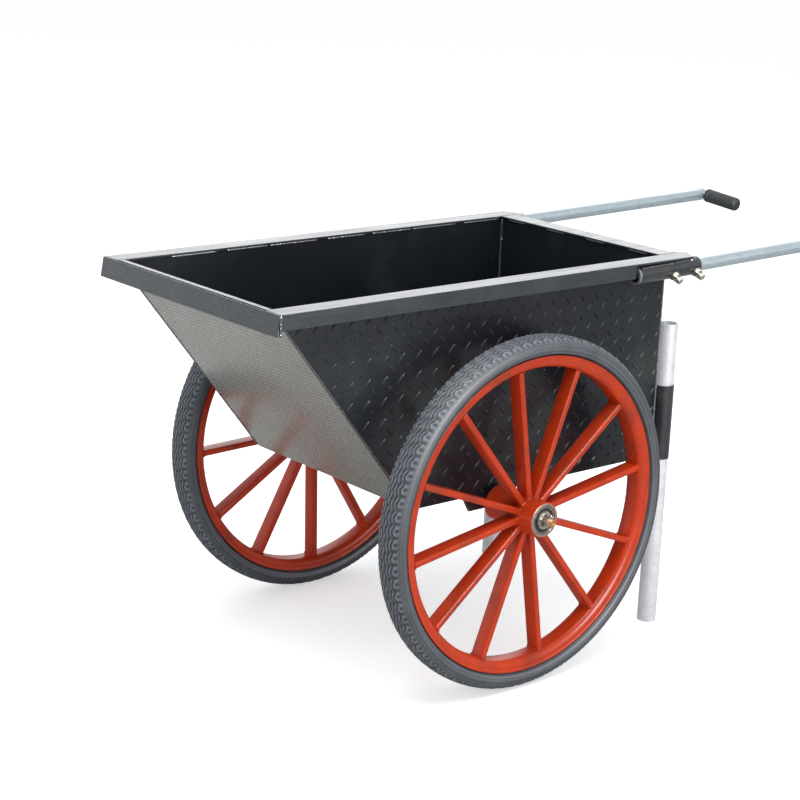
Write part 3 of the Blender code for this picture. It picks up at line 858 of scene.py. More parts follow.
def build_rear_and_floor():
    """The rear plate's outline is shifted along, so that its pattern is centred like the sides' is."""
    shift = AXLE_CENTRE.x

    def on_rear(u, v, out):
        return Vector((REAR_LOW.x - out, u - shift, v))

    def on_floor(u, v, out):
        return Vector((u, v, FLOOR_LOW.z - out))

    rear = corners_of(REAR_LOW.y + shift, REAR_LOW.z, REAR_HIGH.y + shift, REAR_HIGH.z)
    floor = corners_of(FLOOR_LOW.x, FLOOR_LOW.y, FLOOR_HIGH.x, FLOOR_HIGH.y)
    chequer_plate("chequer_rear", "rear_plate", rear, on_rear)
    chequer_plate("chequer_floor", "floor_plate", floor, on_floor)


def build_front_sheet():
    """The sloping front, with rows of fine raised strokes that run down the slope."""
    length = (FRONT_HIGH.z - FRONT_LOW.z) / FRONT_LEAN.z
    foot = Vector((FRONT_HIGH.x - FRONT_LEAN.x * length, 0, FRONT_LOW.z))
    out_of = Vector((FRONT_LEAN.z, 0, -FRONT_LEAN.x))
    half = FRONT_HIGH.y

    def place(u, v, out):
        return foot + Y * u + FRONT_LEAN * v + out_of * out

    outline = corners_of(-half, 0.0, half, length)
    size = (FINE_LENGTH, FINE_WIDTH, FINE_HEIGHT)
    shape = Shape().add(eased(node_solid("front_plate"), 0.0007))
    for column in range(int(2 * half / FINE_ACROSS) + 1):
        for row in range(int(length / FINE_ALONG) + 1):
            spot = (-half + (column + 0.5) * FINE_ACROSS, (row + 0.5) * FINE_ALONG)
            solid = raised_dash(spot, math.radians(90), *size, place, outline, stations=4, ridged=True)
            if solid:
                # Each stroke takes the near-white finish, partly a painted highlight.
                shape.add(solid, None, 1)
    piece("embossed_front", shape, [SHEET, SHEET_TOPS], "tub", ["front_plate"], flat=True)
    edges = Shape()
    for hand in (1.0, -1.0):
        across = hand * (half + 0.0004)
        edges.add(weld([place(across, 0.004, -0.0002), place(across, length - 0.04, -0.0002)], 0.0019))
    piece("front_welds", edges, [TUBE_PAINT], "tub")


def build_rim():
    """The four lengths of angle iron round the tub's mouth."""
    for node in ("rim_front", "rim_left", "rim_right", "rim_rear"):
        shape = Shape().add(eased(node_solid(node), 0.0011, 3))
        piece(node.replace("rim_", "angle_iron_"), shape, [RIM_PAINT], "tub", [node], flat=True)


def bead(shape, start, run, radius, finish=0):
    """A straight bead of weld from a point, as long and in the direction that run says."""
    start = Vector(start)
    shape.add(weld([start, start + Vector(run)], radius), None, finish)


def build_tub_welds():
    """Beads where the plates meet each other and hang from the rim."""
    shape = Shape()
    low, high = FLOOR_LOW.z, SIDE_HIGH.z - 0.001
    floor = low + PLATE
    inner = SIDE_HIGH.y - PLATE
    seam = REAR_HIGH.x + 0.0006  # the rear plate's inner face
    for hand in (1.0, -1.0):
        y = hand * (inner - 0.0006)
        bead(shape, (seam, y, floor), Z * (high - floor), 0.0022)
        bead(shape, (REAR_HIGH.x, y, floor + 0.0004), X * (FLOOR_HIGH.x - REAR_HIGH.x), 0.0022)
        slope = (high - floor) / FRONT_LEAN.z - FRONT_LEAN.z * 0.0032
        bead(shape, (FLOOR_HIGH.x - 0.001, y, floor), FRONT_LEAN * slope, 0.0022)
        corner = (REAR_LOW.x + 0.0002, hand * (SIDE_HIGH.y - 0.0002), low + 0.003)
        bead(shape, corner, Z * (high - low - 0.006), 0.0021, 1)
        outside = hand * (SIDE_HIGH.y + 0.0008)
        for step in range(7):
            x = REAR_HIGH.x + 0.012 + step * 0.118
            bead(shape, (x, y, high), X * random.uniform(0.085, 0.112), 0.0019, 1)
            bead(shape, (x + 0.02, outside, high), X * 0.04, 0.0018)
    for step in range(4):
        y = -inner + 0.02 + step * 0.115
        bead(shape, (seam, y, high), Y * 0.05, 0.0020)
        bead(shape, (REAR_LOW.x + 0.004, y, low - 0.0003), Y * 0.04, 0.0015)
    piece("tub_welds", shape, [TUBE_PAINT, GROUND], "tub")


def build_rim_welds():
    """Tacks along the front rim, and beads at its corners."""
    shape = Shape()
    top = RIM_HIGH.z - 0.0006
    edge = FRONT_RIM_HIGH.x - 0.0070
    corner = edge - 0.0030
    for tack in range(8):
        y = -SIDE_HIGH.y + 0.012 + tack * 0.063 + random.uniform(-0.006, 0.006)
        bead(shape, (edge, y, top), Y * random.uniform(0.008, 0.018), 0.0013)
    for hand in (1.0, -1.0):
        outer = hand * (RIM_HIGH.y - 0.0020)
        bead(shape, (corner, outer, top - 0.038), Z * 0.038, 0.0024, 1)
        bead(shape, (corner, outer, top), Y * (-hand * 0.041), 0.0012)
        bead(shape, (REAR_RIM_LOW.x + 0.0420, hand * REAR_RIM_HIGH.y, top), X * -0.041, 0.0012)
    piece("rim_welds", shape, [RIM_PAINT, TUBE_PAINT], "tub")


# Handles, sockets and legs ------------------------------------------------------------------------------


def tube_ends(node, direction, radius):
    """The two ends of a straight tube's axis, from the box it fills."""
    low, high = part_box(node)
    size = high - low
    way = Vector(direction).normalized()
    main = max(range(3), key=lambda axis: abs(way[axis]))
    side = math.sqrt(max(0.0, 1 - way[main] ** 2))
    half = (size[main] / 2 - radius * side) / abs(way[main])
    centre = (low + high) / 2
    return centre - way * half, centre + way * half


def slide_direction(side):
    """Which way a handle slides out, from the frame's joint."""
    joint = next(j for j in frame["joints"] if j["name"] == f"handle_{side}_slide")
    return Vector(joint["axis"]).normalized()


def clamp_bolt(matrix):
    """A welded nut with its clamping screw and a washer face, standing on z = 0 with the head up."""
    nut_high, screw_high, head_high = 0.008, 0.012, 0.0185
    shape = Shape().add(hexagon(0.0, nut_high, 0.0085), matrix)
    shape.add(thread(nut_high - 0.001, screw_high + 0.001, 0.0046), matrix)
    shape.add(hexagon(screw_high, head_high, 0.0065), matrix)
    shape.add(lathe([(screw_high - 0.0004, 0.0062), (screw_high + 0.0003, 0.0062)], 32), matrix)
    turns = [math.pi * step / 12 for step in range(25)]
    ring = [matrix @ Vector((0.0094 * math.cos(turn), 0.0094 * math.sin(turn), 0.0003)) for turn in turns]
    return shape.add(weld(ring, 0.0014), None, 1)


def build_sockets():
    """The sockets under the rim, with a ground lip at each end whose lighter grey is partly bare metal and
    partly a painted highlight, welds along the top and two set bolts.
    """
    radius, inner, outer = SOCKET_RADIUS, SOCKET_BORE - 0.0001, SOCKET_RADIUS + 0.0003
    drop = math.radians(30)
    for name, hand in LEFT_OR_RIGHT:
        back = slide_direction(name)
        up = (Z - back * Z.dot(back)).normalized()
        front, rear = tube_ends(f"handle_socket_{name}", back, radius)
        length = (rear - front).length
        shape = Shape().add(tube(0.0, length, radius, SOCKET_BORE, 72, 0.0007), stand(front, back))
        # The lips take the ground steel finish: bare metal at the cut ends, lightened as a painted highlight
        # on each mouth's rim.
        for low, high in ((-0.0008, 0.0034), (length - 0.0006, length + 0.0006)):
            profile = [(low, inner), (low, outer - 0.0006), (low + 0.0005, outer)]
            profile += [(high, outer), (high, inner)]
            shape.add(lathe(profile, 72, looped=True), stand(front, back), 1)
        top = RIM_HIGH.z - STEEL - 0.0004
        for turn in (0.65, -0.65):
            start = front + Y * (radius * math.sin(turn)) + back * 0.01
            run = [start + back * (length - 0.02) * part for part in (0.0, 0.3, 0.62, 1.0)]
            rise = radius * math.cos(turn) + 0.0008
            shape.add(weld([Vector((p.x, p.y, min(top, p.z + rise))) for p in run], 0.0020))
        nodes = [f"handle_socket_{name}"]
        piece(f"socket_tube_{name}", shape, [TUBE_PAINT, GROUND], "tub", nodes)
        out = Y * (hand * math.cos(drop)) - up * math.sin(drop)
        for place, from_rear in (("rear", 0.012), ("front", 0.073)):
            bolt = clamp_bolt(stand(rear - back * from_rear + out * (radius + 0.0001), out))
            nodes = [f"socket_bolt_{name}_{place}"]
            piece(f"set_bolt_{name}_{place}", bolt, [ZINC, TUBE_PAINT], "tub", nodes)


def grip_solid(length, bore, radius, stations=96, around=72):
    """A moulded rubber grip along Z from 0, with rings and flutes, a rolled mouth and a domed, closed end."""
    rings, flutes, mouth_long, dome_long = 17, 18, 0.005, 0.006
    turns = [2 * math.pi * index / around for index in range(around)]
    rows = [[(bore * math.cos(turn), bore * math.sin(turn), z) for turn in turns] for z in (0.004, 0.0)]
    for step in range(stations + 1):
        share = step / stations
        z = share * length
        ring = abs(math.sin(math.pi * rings * share)) ** 0.4
        body = radius - 0.0011 * (1 - ring)
        mouth = min(1.0, z / mouth_long)
        dome = max(0.0, (z - (length - dome_long)) / dome_long)
        if mouth < 1:
            body = radius * (0.985 + 0.015 * mouth)
        body *= math.sqrt(1 - (dome * 0.93) ** 2)
        deep = 0.0005 * ring if mouth >= 1 and dome == 0 else 0.0
        row = []
        for turn in turns:
            reach = body - deep * (0.5 + 0.5 * math.cos(turn * flutes))
            row.append((reach * math.cos(turn), reach * math.sin(turn), z))
        rows.append(row)
    return skin(rows)


def build_handles():
    """Each pole with its welded crossbar and its grip."""
    bar_radius, droop = CROSSBAR_RADIUS, math.radians(5)
    for name, hand in LEFT_OR_RIGHT:
        body = f"handle_{name}"
        back = slide_direction(name)
        up = (Z - back * Z.dot(back)).normalized()
        front, rear = tube_ends(f"pole_{name}", back, POLE_RADIUS)
        solid = tube(0.0, (rear - front).length, POLE_RADIUS, POLE_RADIUS - POLE_WALL, 72)
        shape = Shape().add(solid, stand(front, back))
        piece(f"pole_tube_{name}", shape, [POLE_ZINC], body, [f"pole_{name}"])

        inwards = (-up * math.sin(droop) - Y * (hand * math.cos(droop))).normalized()
        start, end = tube_ends(f"crossbar_{name}", inwards, bar_radius)
        solid = tube(0.0, (end - start).length, bar_radius, bar_radius - POLE_WALL)
        shape = Shape().add(solid, stand(start, inwards))
        centre = rear + back * (bar_radius + FIT)
        across = back.cross(inwards).normalized()
        loop = []  # the bead where the crossbar's side meets the pole's end
        for step in range(41):
            turn = 2 * math.pi * step / 40
            reach = math.cos(turn) * 0.0112
            side = math.sin(turn) * 0.0108
            sink = math.sqrt(bar_radius**2 - side**2)
            loop.append(centre - back * (sink - 0.0008) + inwards * reach + across * side)
        shape.add(weld(loop, 0.0019))
        piece(f"crossbar_tube_{name}", shape, [POLE_ZINC], body, [f"crossbar_{name}"])

        grip_low, grip_high = tube_ends(f"grip_{name}", inwards, GRIP_RADIUS)
        solid = grip_solid((grip_high - grip_low).length, bar_radius + FIT, GRIP_RADIUS)
        shape = Shape().add(solid, stand(grip_low, inwards))
        piece(f"ribbed_grip_{name}", shape, [GRIP_RUBBER], body, [f"grip_{name}"], sharp=60)


def build_legs():
    """Each leg, the sleeve it slides in and the set bolt that holds it."""
    for name, hand in LEFT_OR_RIGHT:
        foot, head = tube_ends(f"leg_{name}", Z, LEG_RADIUS)
        solid = tube(0.0, (head - foot).length, LEG_RADIUS, LEG_RADIUS - LEG_WALL, 72, 0.0008)
        shape = Shape().add(solid, stand(foot, Z))
        piece(f"leg_tube_{name}", shape, [LEG_ZINC], f"stand_leg_{name}", [f"leg_{name}"])
        low, high = tube_ends(f"leg_sleeve_{name}", Z, SLEEVE_RADIUS)
        solid = tube(0.0, (high - low).length, SLEEVE_RADIUS, LEG_RADIUS + FIT, 72, 0.0005)
        shape = Shape().add(solid, stand(low, Z))
        spot = Vector((REAR_LOW.x - 0.0014, hand * (SIDE_HIGH.y + 0.0006), low.z))
        for part in range(3):
            bead(shape, spot + Z * (0.008 + part * 0.052), Z * 0.030, 0.0020)
        piece(f"leg_socket_{name}", shape, [TUBE_PAINT], "tub", [f"leg_sleeve_{name}"])
        bolt_low, bolt_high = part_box(f"leg_bolt_{name}")
        spot = (bolt_low + bolt_high) / 2
        spot.y = bolt_high.y + 0.0002 if hand > 0 else bolt_low.y - 0.0002
        bolt = clamp_bolt(stand(spot, -Y * hand))
        piece(f"leg_set_bolt_{name}", bolt, [ZINC, TUBE_PAINT], "tub", [f"leg_bolt_{name}"])


# Axle and wheels ----------------------------------------------------------------------------------------


def along_axle(y):
    """The matrix of something turned about Z that lies on the axle, at this distance from the middle."""
    turn = Matrix(((1, 0, 0), (0, 0, 1), (0, -1, 0))).to_4x4()
    return Matrix.Translation((AXLE_CENTRE.x, y, AXLE_CENTRE.z)) @ turn


def build_axle():
    """The axle bar with its two collars and its threaded ends."""
    end = AXLE_HIGH.y
    collar_in, collar_out, collar = 0.2385, 0.2435, AXLE_RADIUS + 0.0035
    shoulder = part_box("axle_washer_left")[0].y - FIT
    thread_from = shoulder + 0.0032
    half = [
        (collar_in - 0.001, AXLE_RADIUS),
        (collar_in, collar - 0.0008),
        (collar_in + 0.0008, collar),
        (collar_out - 0.0008, collar),
        (collar_out, collar - 0.0008),
        (collar_out, AXLE_RADIUS),
        (shoulder, AXLE_RADIUS),
        (shoulder, STUB_RADIUS),
        (thread_from, STUB_RADIUS),
    ]
    pitch = 0.0015
    for turn in range(int((end - 0.002 - thread_from) / pitch)):
        half.append((thread_from + (turn + 0.3) * pitch, STUB_RADIUS - 0.0008))
        half.append((thread_from + (turn + 0.8) * pitch, STUB_RADIUS))
    half += [(end - 0.0012, STUB_RADIUS - 0.0004), (end, STUB_RADIUS - 0.0018)]
    half += [(end, 0.0022), (end - 0.0014, 0.0004)]  # the lathe's centre mark
    profile = [(-z, r) for z, r in reversed(half)] + half
    count = 72
    finishes = []
    for (z, _), (after, _) in zip(profile, profile[1:]):
        finishes += [1 if abs(z + after) / 2 > shoulder else 0] * count
    finishes += [1, 1]
    shape = Shape().add(lathe(profile, count), along_axle(0.0), finishes)
    piece("axle_bar", shape, [AXLE_STEEL, RUSTY], "tub", ["axle"])


def build_brackets():
    """The angles under the floor, with their welds and a bead round the axle."""
    for name, hand in LEFT_OR_RIGHT:
        node = f"axle_bracket_{name}"
        low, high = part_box(node)
        shape = Shape().add(eased(node_solid(node), 0.0009))
        top = FLOOR_LOW.z - 0.0006
        outer = (high.y if hand > 0 else low.y) + hand * 0.0004
        bead(shape, (low.x + 0.004, outer, top), X * 0.046, 0.0022)
        bead(shape, (high.x - 0.050, outer, top), X * 0.046, 0.0022)
        ring = []
        for step in range(31):
            turn = math.pi * (0.95 + 1.1 * step / 30)
            reach = AXLE_RADIUS + 0.0008
            x, z = reach * math.cos(turn), reach * math.sin(turn)
            ring.append((AXLE_CENTRE.x + x, outer, AXLE_CENTRE.z + z))
        shape.add(weld(ring, 0.0016))
        piece(f"axle_angle_{name}", shape, [TUBE_PAINT], "tub", [node], flat=True)


def split_pin(centre, foot):
    """A bent wire whose two halves make an eye above the axle and open out at the foot, below it."""
    wire, eye = 0.00085, 0.0023
    eye_low = AXLE_CENTRE.z + STUB_RADIUS + 0.0012
    shape = Shape()
    for lean in (1.0, -1.0):
        path = [(0.0, eye_low + 2 * eye)]
        for step in range(1, 8):
            swing = math.pi * step / 8
            path.append((eye * math.sin(swing), eye_low + eye + eye * math.cos(swing)))
        path += [(wire, eye_low), (wire, foot + 0.005), (0.0028, foot + 0.0025), (0.0066, foot + 0.0012)]
        shape.add(rod([(centre.x + lean * side, centre.y, z) for side, z in path], wire))
    return shape


def build_axle_ends():
    """The washer, the nut and the split pin outside each wheel."""
    for name, hand in LEFT_OR_RIGHT:
        low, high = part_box(f"axle_washer_{name}")
        half = (high.y - low.y) / 2
        solid = tube(-half, half, WASHER_RADIUS, STUB_RADIUS + FIT, 64, 0.0004)
        shape = Shape().add(solid, along_axle((low.y + high.y) / 2))
        piece(f"end_washer_{name}", shape, [ZINC], "tub", [f"axle_washer_{name}"])

        low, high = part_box(f"axle_nut_{name}")
        half = (high.y - low.y) / 2
        turn = Matrix.Rotation(math.radians(11 * hand), 4, "Z")
        shape = Shape().add(hexagon(-half, half, 0.0120, 72), along_axle((low.y + high.y) / 2) @ turn)
        piece(f"end_nut_{name}", shape, [NUT_STEEL], "tub", [f"axle_nut_{name}"])

        low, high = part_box(f"split_pin_{name}")
        shape = split_pin((low + high) / 2, low.z)
        piece(f"cotter_{name}", shape, [ZINC], "tub", [f"split_pin_{name}"], sharp=70)


def cross_bar(share, wide, deep):
    """How deep a bar across the tread is cut, this share of the way from one bar to the next."""
    away = abs(share % 1.0 - 0.5) * 2
    return deep * max(0.0, 1 - (away / wide) ** 2)


def tread_depth(across, share):
    """How deep the tread is cut at a place across the tyre, and a share of the way round one wave."""
    swing = TREAD_SWING * math.sin(2 * math.pi * share)
    cuts = [math.exp(-(((across - line - swing) / TREAD_GROOVE) ** 2)) for line in TREAD_LINES]
    out, left = abs(across), across > 0
    if 0.0185 < out < 0.0275:
        cuts.append(cross_bar(share * 2 + (0.2 if left else 0.7), 0.42, 0.80))
    elif 0.0095 < out < 0.0155:
        cuts.append(cross_bar(share + (out - 0.0095) * (60 if left else -60), 0.24, 0.45))
    elif out < 0.0065:
        cuts.append(cross_bar(share - 0.25 + across * 70, 0.20, 0.40))
    return max(cuts)


def tyre_outline():
    """Half of the tyre's outline as (across, radius), from its foot in the rim to the middle of its crown."""
    wide = (TYRE_HIGH.y - TYRE_LOW.y) / 2
    foot, base = 0.0207, RIM_RADIUS
    flank = [
        (foot, base + 0.001),
        (foot + 0.0035, base + 0.0025),
        (wide - 0.0025, base + 0.0055),
        (wide, base + 0.0120),
        (wide - 0.0020, base + 0.0195),
        (wide - 0.0060, base + 0.0265),
        (wide - 0.0130, base + 0.0312),
    ]
    start, shoulder = flank[-1]
    count = 12
    top = []
    for step in range(1, count + 1):
        left = 1 - step / count
        top.append((start * left, TYRE_RADIUS - (TYRE_RADIUS - shoulder) * left**2))
    return [(foot - 0.004, base - 0.014), (foot, base - 0.006)] + bezier(flank, 3) + top


def build_tyre(name, hand):
    """A moulded tyre, with its tread cut in and two fine ribs round each sidewall."""
    half = tyre_outline()
    section = half + [(-across, radius) for across, radius in reversed(half[:-1])]
    widest = (TYRE_HIGH.y - TYRE_LOW.y) / 2
    band = TYRE_RADIUS - TREAD_BAND
    rows = []
    for station in range(TYRE_STATIONS):
        turn = 2 * math.pi * station / TYRE_STATIONS
        share = (TREAD_WAVES * station / TYRE_STATIONS) % 1.0
        row = []
        for across, radius in section:
            wide, reach = across, radius
            if radius > band:
                fade = min(1.0, (radius - band) / 0.003)
                reach -= TREAD_DEPTH * fade * tread_depth(across, share)
            if 0.299 < radius < 0.319:
                rib = 0.0007 * math.exp(-(((radius - 0.3025) / 0.0010) ** 2))
                rib += 0.0005 * math.exp(-(((radius - 0.3165) / 0.0009) ** 2))
                wide = math.copysign(min(widest, abs(across) + rib), across)
            row.append((reach * math.cos(turn), reach * math.sin(turn), wide))
        rows.append(row)
    shape = Shape().add(skin(rows, looped=True), along_axle(hand * TRACK_HALF))
    nodes = [f"tyre_{name}"]
    piece(f"treaded_tyre_{name}", shape, [TYRE_RUBBER], f"wheel_{name}", nodes, sharp=75)


def wheel_centre(hand):
    """The middle of a wheel."""
    return Vector((AXLE_CENTRE.x, hand * TRACK_HALF, AXLE_CENTRE.z))


def build_wheel_rim(name, hand):
    """A rolled steel channel with a rounded well, and a small bead along each edge."""
    half_width, outer, well = RIM_HALF, RIM_RADIUS, RIM_WELL
    flank = [
        (half_width - 0.0016, outer - 0.0016),
        (half_width - 0.0005, outer - 0.0002),
        (half_width + 0.0004, outer - 0.0010),
        (half_width + 0.0002, outer - 0.0030),
        (half_width - 0.0010, outer - 0.0060),
        (half_width - 0.0012, outer - 0.0100),
        (half_width - 0.0030, outer - 0.0155),
        (half_width - 0.0070, well + 0.0028),
        (half_width - 0.0120, well + 0.0006),
        (0.0, well),
    ]
    seen = bezier(flank, 4)
    inner = [(across, reach) for across, reach in bezier(flank[5:], 4) if across > 0.004]
    hidden = [(across - RIM_STEEL * 0.8, reach + RIM_STEEL) for across, reach in inner]
    side = [*reversed(hidden), (half_width - 0.0038, outer - 0.0040), *seen[:-1]]
    section = [*side, seen[-1], *[(-across, reach) for across, reach in reversed(side)]]
    shape = Shape().add(lathe(section, 192, looped=True), along_axle(hand * TRACK_HALF))
    nodes = [f"wheel_rim_{name}"]
    piece(f"steel_rim_{name}", shape, [WHEEL_PAINT], f"wheel_{name}", nodes, sharp=50)


def build_rim_hole(name, hand):
    """The small hole between two spokes, with its pressed lip."""
    turn = math.radians({"left": 165.0, "right": 172.5}[name])
    way = Vector((math.cos(turn), 0, math.sin(turn)))
    across = way.cross(Y)
    centre = wheel_centre(hand) + way * (RIM_WELL - 0.0001)
    turns = [2 * math.pi * step / 24 for step in range(25)]
    lip = [centre + (Y * math.cos(turn) + across * math.sin(turn)) * 0.0036 for turn in turns]
    shape = Shape().add(rod(lip, 0.0008))
    dark = lathe([(0.0, 0.0030), (0.0004, 0.0030), (0.0006, 0.0026)], 32)
    shape.add(dark, stand(centre - way * 0.0002, way), 1)
    piece(f"rim_hole_{name}", shape, [WHEEL_PAINT, SEAL], f"wheel_{name}", sharp=60)


def spoke_section(thick, wide, corner, steps=3):
    """A rectangular tube's rounded outline, as (across, along the axle)."""
    found = []
    for quarter, (side, level) in enumerate(((1, 1), (-1, 1), (-1, -1), (1, -1))):
        for step in range(steps + 1):
            turn = math.pi / 2 * (quarter + step / steps)
            u = side * (thick / 2 - corner) + corner * math.cos(turn)
            v = level * (wide / 2 - corner) + corner * math.sin(turn)
            found.append((u, v))
    return found


def build_hub_and_spokes(name, hand):
    """A turned hub barrel with twelve rectangular tube spokes, welded at both ends."""
    radius, bore = HUB_RADIUS, BEARING_RADIUS + FIT
    start, end = 0.244 - TRACK_HALF, 0.370 - TRACK_HALF
    profile = [
        (start, bore + 0.0008),
        (start, radius - 0.0018),
        (start + 0.0018, radius),
        (end - 0.0018, radius),
        (end - 0.0003, radius - 0.0012),
        (end, radius - 0.0018),
        (end, bore + 0.0010),
        (end - 0.0010, bore),
        (start + 0.0008, bore),
    ]
    machined = (4, 5, 6)
    count = 96
    finishes = []
    for band in range(len(profile)):
        finishes += [1 if band in machined else 0] * count
    matrix = along_axle(hand * TRACK_HALF) @ Matrix.Rotation(math.pi if hand < 0 else 0.0, 4, "X")
    shape = Shape().add(lathe(profile, count, looped=True), matrix, finishes)

    section = spoke_section(thick=0.012, wide=0.030, corner=0.003)
    loop = [*section, section[0]]
    phase = {"left": -9.0, "right": -1.5}[name]
    root, tip = radius - 0.0030, RIM_WELL - 0.0002
    centre = wheel_centre(hand)
    welds = Shape()
    for spoke in range(12):
        turn = math.radians(phase + spoke * 30.0)
        way = Vector((math.cos(turn), 0, math.sin(turn)))
        side = Vector((-math.sin(turn), 0, math.cos(turn)))

        def place(reach, u, v, way=way, side=side):
            return centre + way * reach + side * u + Y * v

        reaches = (root, radius + 0.004, (root + tip) / 2, tip - 0.004, tip)
        shape.add(skin([[place(reach, u, v) for u, v in section] for reach in reaches]))
        at_rim = [place(RIM_WELL - 0.0004 - u * u * 1.8, u * 1.03, v * 1.01) for u, v in loop]
        at_hub = [place(math.sqrt(radius**2 - u * u) + 0.0004, u * 1.05, v * 1.02) for u, v in loop]
        welds.add(weld(at_rim, 0.0017))
        welds.add(weld(at_hub, 0.0019))
    nodes = [f"hub_and_spokes_{name}"]
    piece(f"spoked_hub_{name}", shape, [WHEEL_PAINT, HUB_FACE], f"wheel_{name}", nodes)
    piece(f"spoke_welds_{name}", welds, [WHEEL_PAINT], f"wheel_{name}", sharp=70)


def build_bearings(name):
    """Sealed ball bearings: an outer race, a dished seal and an inner race."""
    bore, seal_in, seal_out, radius = AXLE_RADIUS + FIT, 0.0168, 0.0232, BEARING_RADIUS
    count = 80
    for place in ("outer", "inner"):
        node = f"bearing_{place}_{name}"
        low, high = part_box(node)
        half = (high.y - low.y) / 2
        face = [  # each point's height and radius, and 1 where it is on the seal
            (half, bore + 0.0006, 0),
            (half, seal_in, 0),
            (half - 0.0010, seal_in + 0.0001, 1),
            (half - 0.0010, seal_in + 0.0012, 1),
            (half - 0.0004, seal_in + 0.0020, 1),
            (half - 0.0004, seal_out - 0.0022, 1),
            (half - 0.0009, seal_out - 0.0012, 1),
            (half - 0.0012, seal_out - 0.0001, 1),
            (half, seal_out, 0),
            (half, radius - 0.0009, 0),
            (half - 0.0009, radius, 0),
        ]
        ring = face + [(-z, reach, on_seal) for z, reach, on_seal in reversed(face)]
        finishes = []
        for here, after in zip(ring, ring[1:] + ring[:1]):
            finishes += [max(here[2], after[2])] * count
        profile = [(z, reach) for z, reach, _ in ring]
        matrix = along_axle((low.y + high.y) / 2)
        shape = Shape().add(lathe(profile, count, looped=True), matrix, finishes)
        made = f"sealed_bearing_{place}_{name}"
        piece(made, shape, [BEARING_STEEL, SEAL], f"wheel_{name}", [node])


# Studio -------------------------------------------------------------------------------------------------


def build_floor():
    """A wide pale floor, a little dimmer in reflections and brighter straight to the camera."""
    mesh = bpy.data.meshes.new("floor")
    reach = 60.0
    corners = [(x, y, 0.0) for x, y in corners_of(-reach, -reach, reach, reach)]
    mesh.from_pydata(corners, [], [(0, 1, 2, 3)])
    finish = bpy.data.materials.new("pale floor")
    finish.use_nodes = True
    tree = finish.node_tree
    shader = tree.nodes["Principled BSDF"]
    path = tree.nodes.new("ShaderNodeLightPath").outputs
    pale, dim = (0.86, 0.86, 0.86, 1.0), (0.34, 0.35, 0.35, 1.0)
    tree.links.new(blend_colours(tree, path["Is Glossy Ray"], pale, dim), shader.inputs["Base Color"])
    tree.links.new(ramp(tree, path["Is Camera Ray"], 0.0, 1.0, 0.0, 0.48), shader.inputs["Emission Strength"])
    shader.inputs["Emission Color"].default_value = (1.0, 1.0, 1.0, 1.0)
    shader.inputs["Roughness"].default_value = 0.9
    shader.inputs["Specular IOR Level"].default_value = 0.1
    mesh.materials.append(finish)
    floor = bpy.data.objects.new("floor", mesh)
    bpy.context.scene.collection.objects.link(floor)


def softbox(name, azimuth, height, distance, width, tall, power, only_shine=False):
    """A large soft light that faces the tub. Azimuth is in degrees from +X towards +Y.

    With only_shine it shows in reflections and lights nothing else.
    """
    light = bpy.data.lights.new(name, "AREA")
    light.shape = "RECTANGLE"
    light.size, light.size_y = width, tall
    light.energy = power
    made = bpy.data.objects.new(name, light)
    turn = math.radians(azimuth)
    made.location = (distance * math.cos(turn), distance * math.sin(turn), height)
    aim = Vector((0.1, 0, 0.5)) - made.location
    made.rotation_euler = aim.to_track_quat("-Z", "Y").to_euler()
    made.visible_camera = False
    made.visible_diffuse = not only_shine
    bpy.context.scene.collection.objects.link(made)


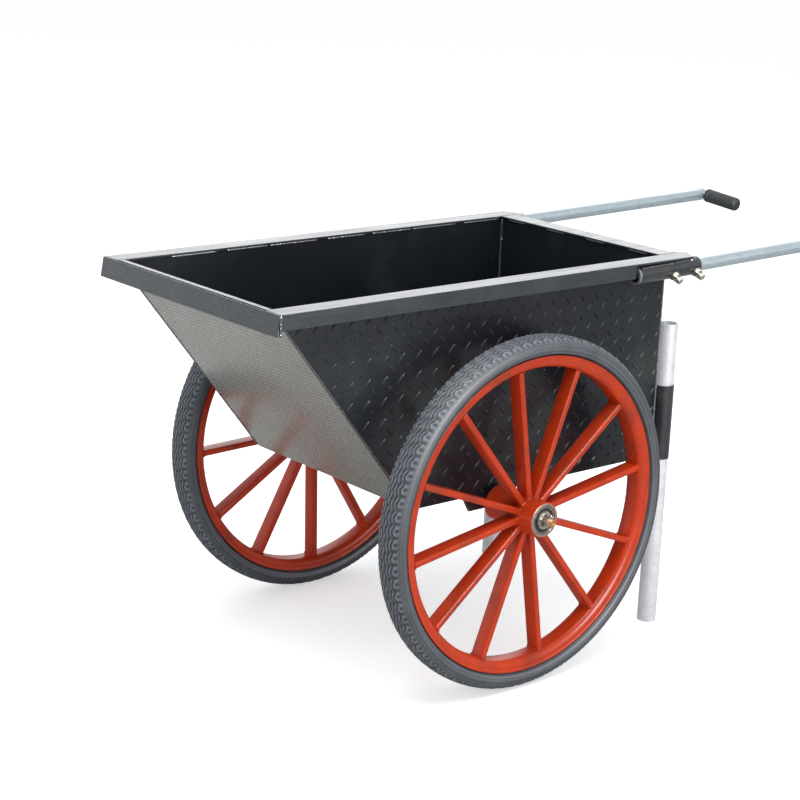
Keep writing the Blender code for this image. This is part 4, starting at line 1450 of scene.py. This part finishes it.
def build_world():
    """A pale sky that lights the cart, in front of a white backdrop."""
    world = bpy.data.worlds.new("studio")
    world.use_nodes = True
    bpy.context.scene.world = world
    tree = world.node_tree
    sky = tree.nodes["Background"]
    backdrop = put(tree, "ShaderNodeBackground", Color=(1.0, 1.0, 1.0, 1.0), Strength=1.0)
    seen = tree.nodes.new("ShaderNodeLightPath").outputs["Is Camera Ray"]
    mix = tree.nodes.new("ShaderNodeMixShader")
    sky.inputs["Color"].default_value = (0.93, 0.96, 1.0, 1.0)
    sky.inputs["Strength"].default_value = 0.62
    tree.links.new(seen, mix.inputs[0])
    tree.links.new(sky.outputs[0], mix.inputs[1])
    tree.links.new(backdrop.outputs[0], mix.inputs[2])
    tree.links.new(mix.outputs[0], tree.nodes["World Output"].inputs["Surface"])


def build_camera():
    """A long lens from the front left, a little above the rim."""
    yaw, pitch, roll = math.radians(229.85), math.radians(15.52), math.radians(2.34)
    forward = Vector((math.cos(yaw) * math.cos(pitch), math.sin(yaw) * math.cos(pitch), -math.sin(pitch)))
    level = Vector((math.sin(yaw), -math.cos(yaw), 0))
    above = level.cross(forward)
    right = level * math.cos(roll) + above * math.sin(roll)
    up = above * math.cos(roll) - level * math.sin(roll)
    matrix = Matrix((right, up, -forward)).transposed().to_4x4()
    matrix.translation = (2.7054, 2.8428, 1.5037)
    lens = bpy.data.cameras.new("camera")
    lens.lens, lens.sensor_width = 91.68, 36.0
    camera = bpy.data.objects.new("camera", lens)
    camera.matrix_world = matrix
    bpy.context.scene.collection.objects.link(camera)
    bpy.context.scene.camera = camera


build_side_plates()
build_rear_and_floor()
build_front_sheet()
build_rim()
build_tub_welds()
build_rim_welds()
build_sockets()
build_handles()
build_legs()
build_axle()
build_brackets()
build_axle_ends()
for side_name, side_hand in LEFT_OR_RIGHT:
    build_tyre(side_name, side_hand)
    build_wheel_rim(side_name, side_hand)
    build_rim_hole(side_name, side_hand)
    build_hub_and_spokes(side_name, side_hand)
    build_bearings(side_name)
build_floor()
build_world()
build_camera()
softbox("far_window", 230.0, 2.2, 4.5, 7.0, 2.6, 70.0)
softbox("side_window", 96.0, 1.3, 4.0, 2.6, 1.8, 40.0)
softbox("side_glint", 88.0, 1.6, 3.8, 1.8, 1.6, 150.0, only_shine=True)
softbox("nose_window", -48.0, 0.62, 2.3, 2.2, 1.2, 4.5)
softbox("overhead", 40.0, 4.2, 1.8, 3.2, 2.4, 130.0)
bpy.context.scene.view_settings.view_transform = "Standard"
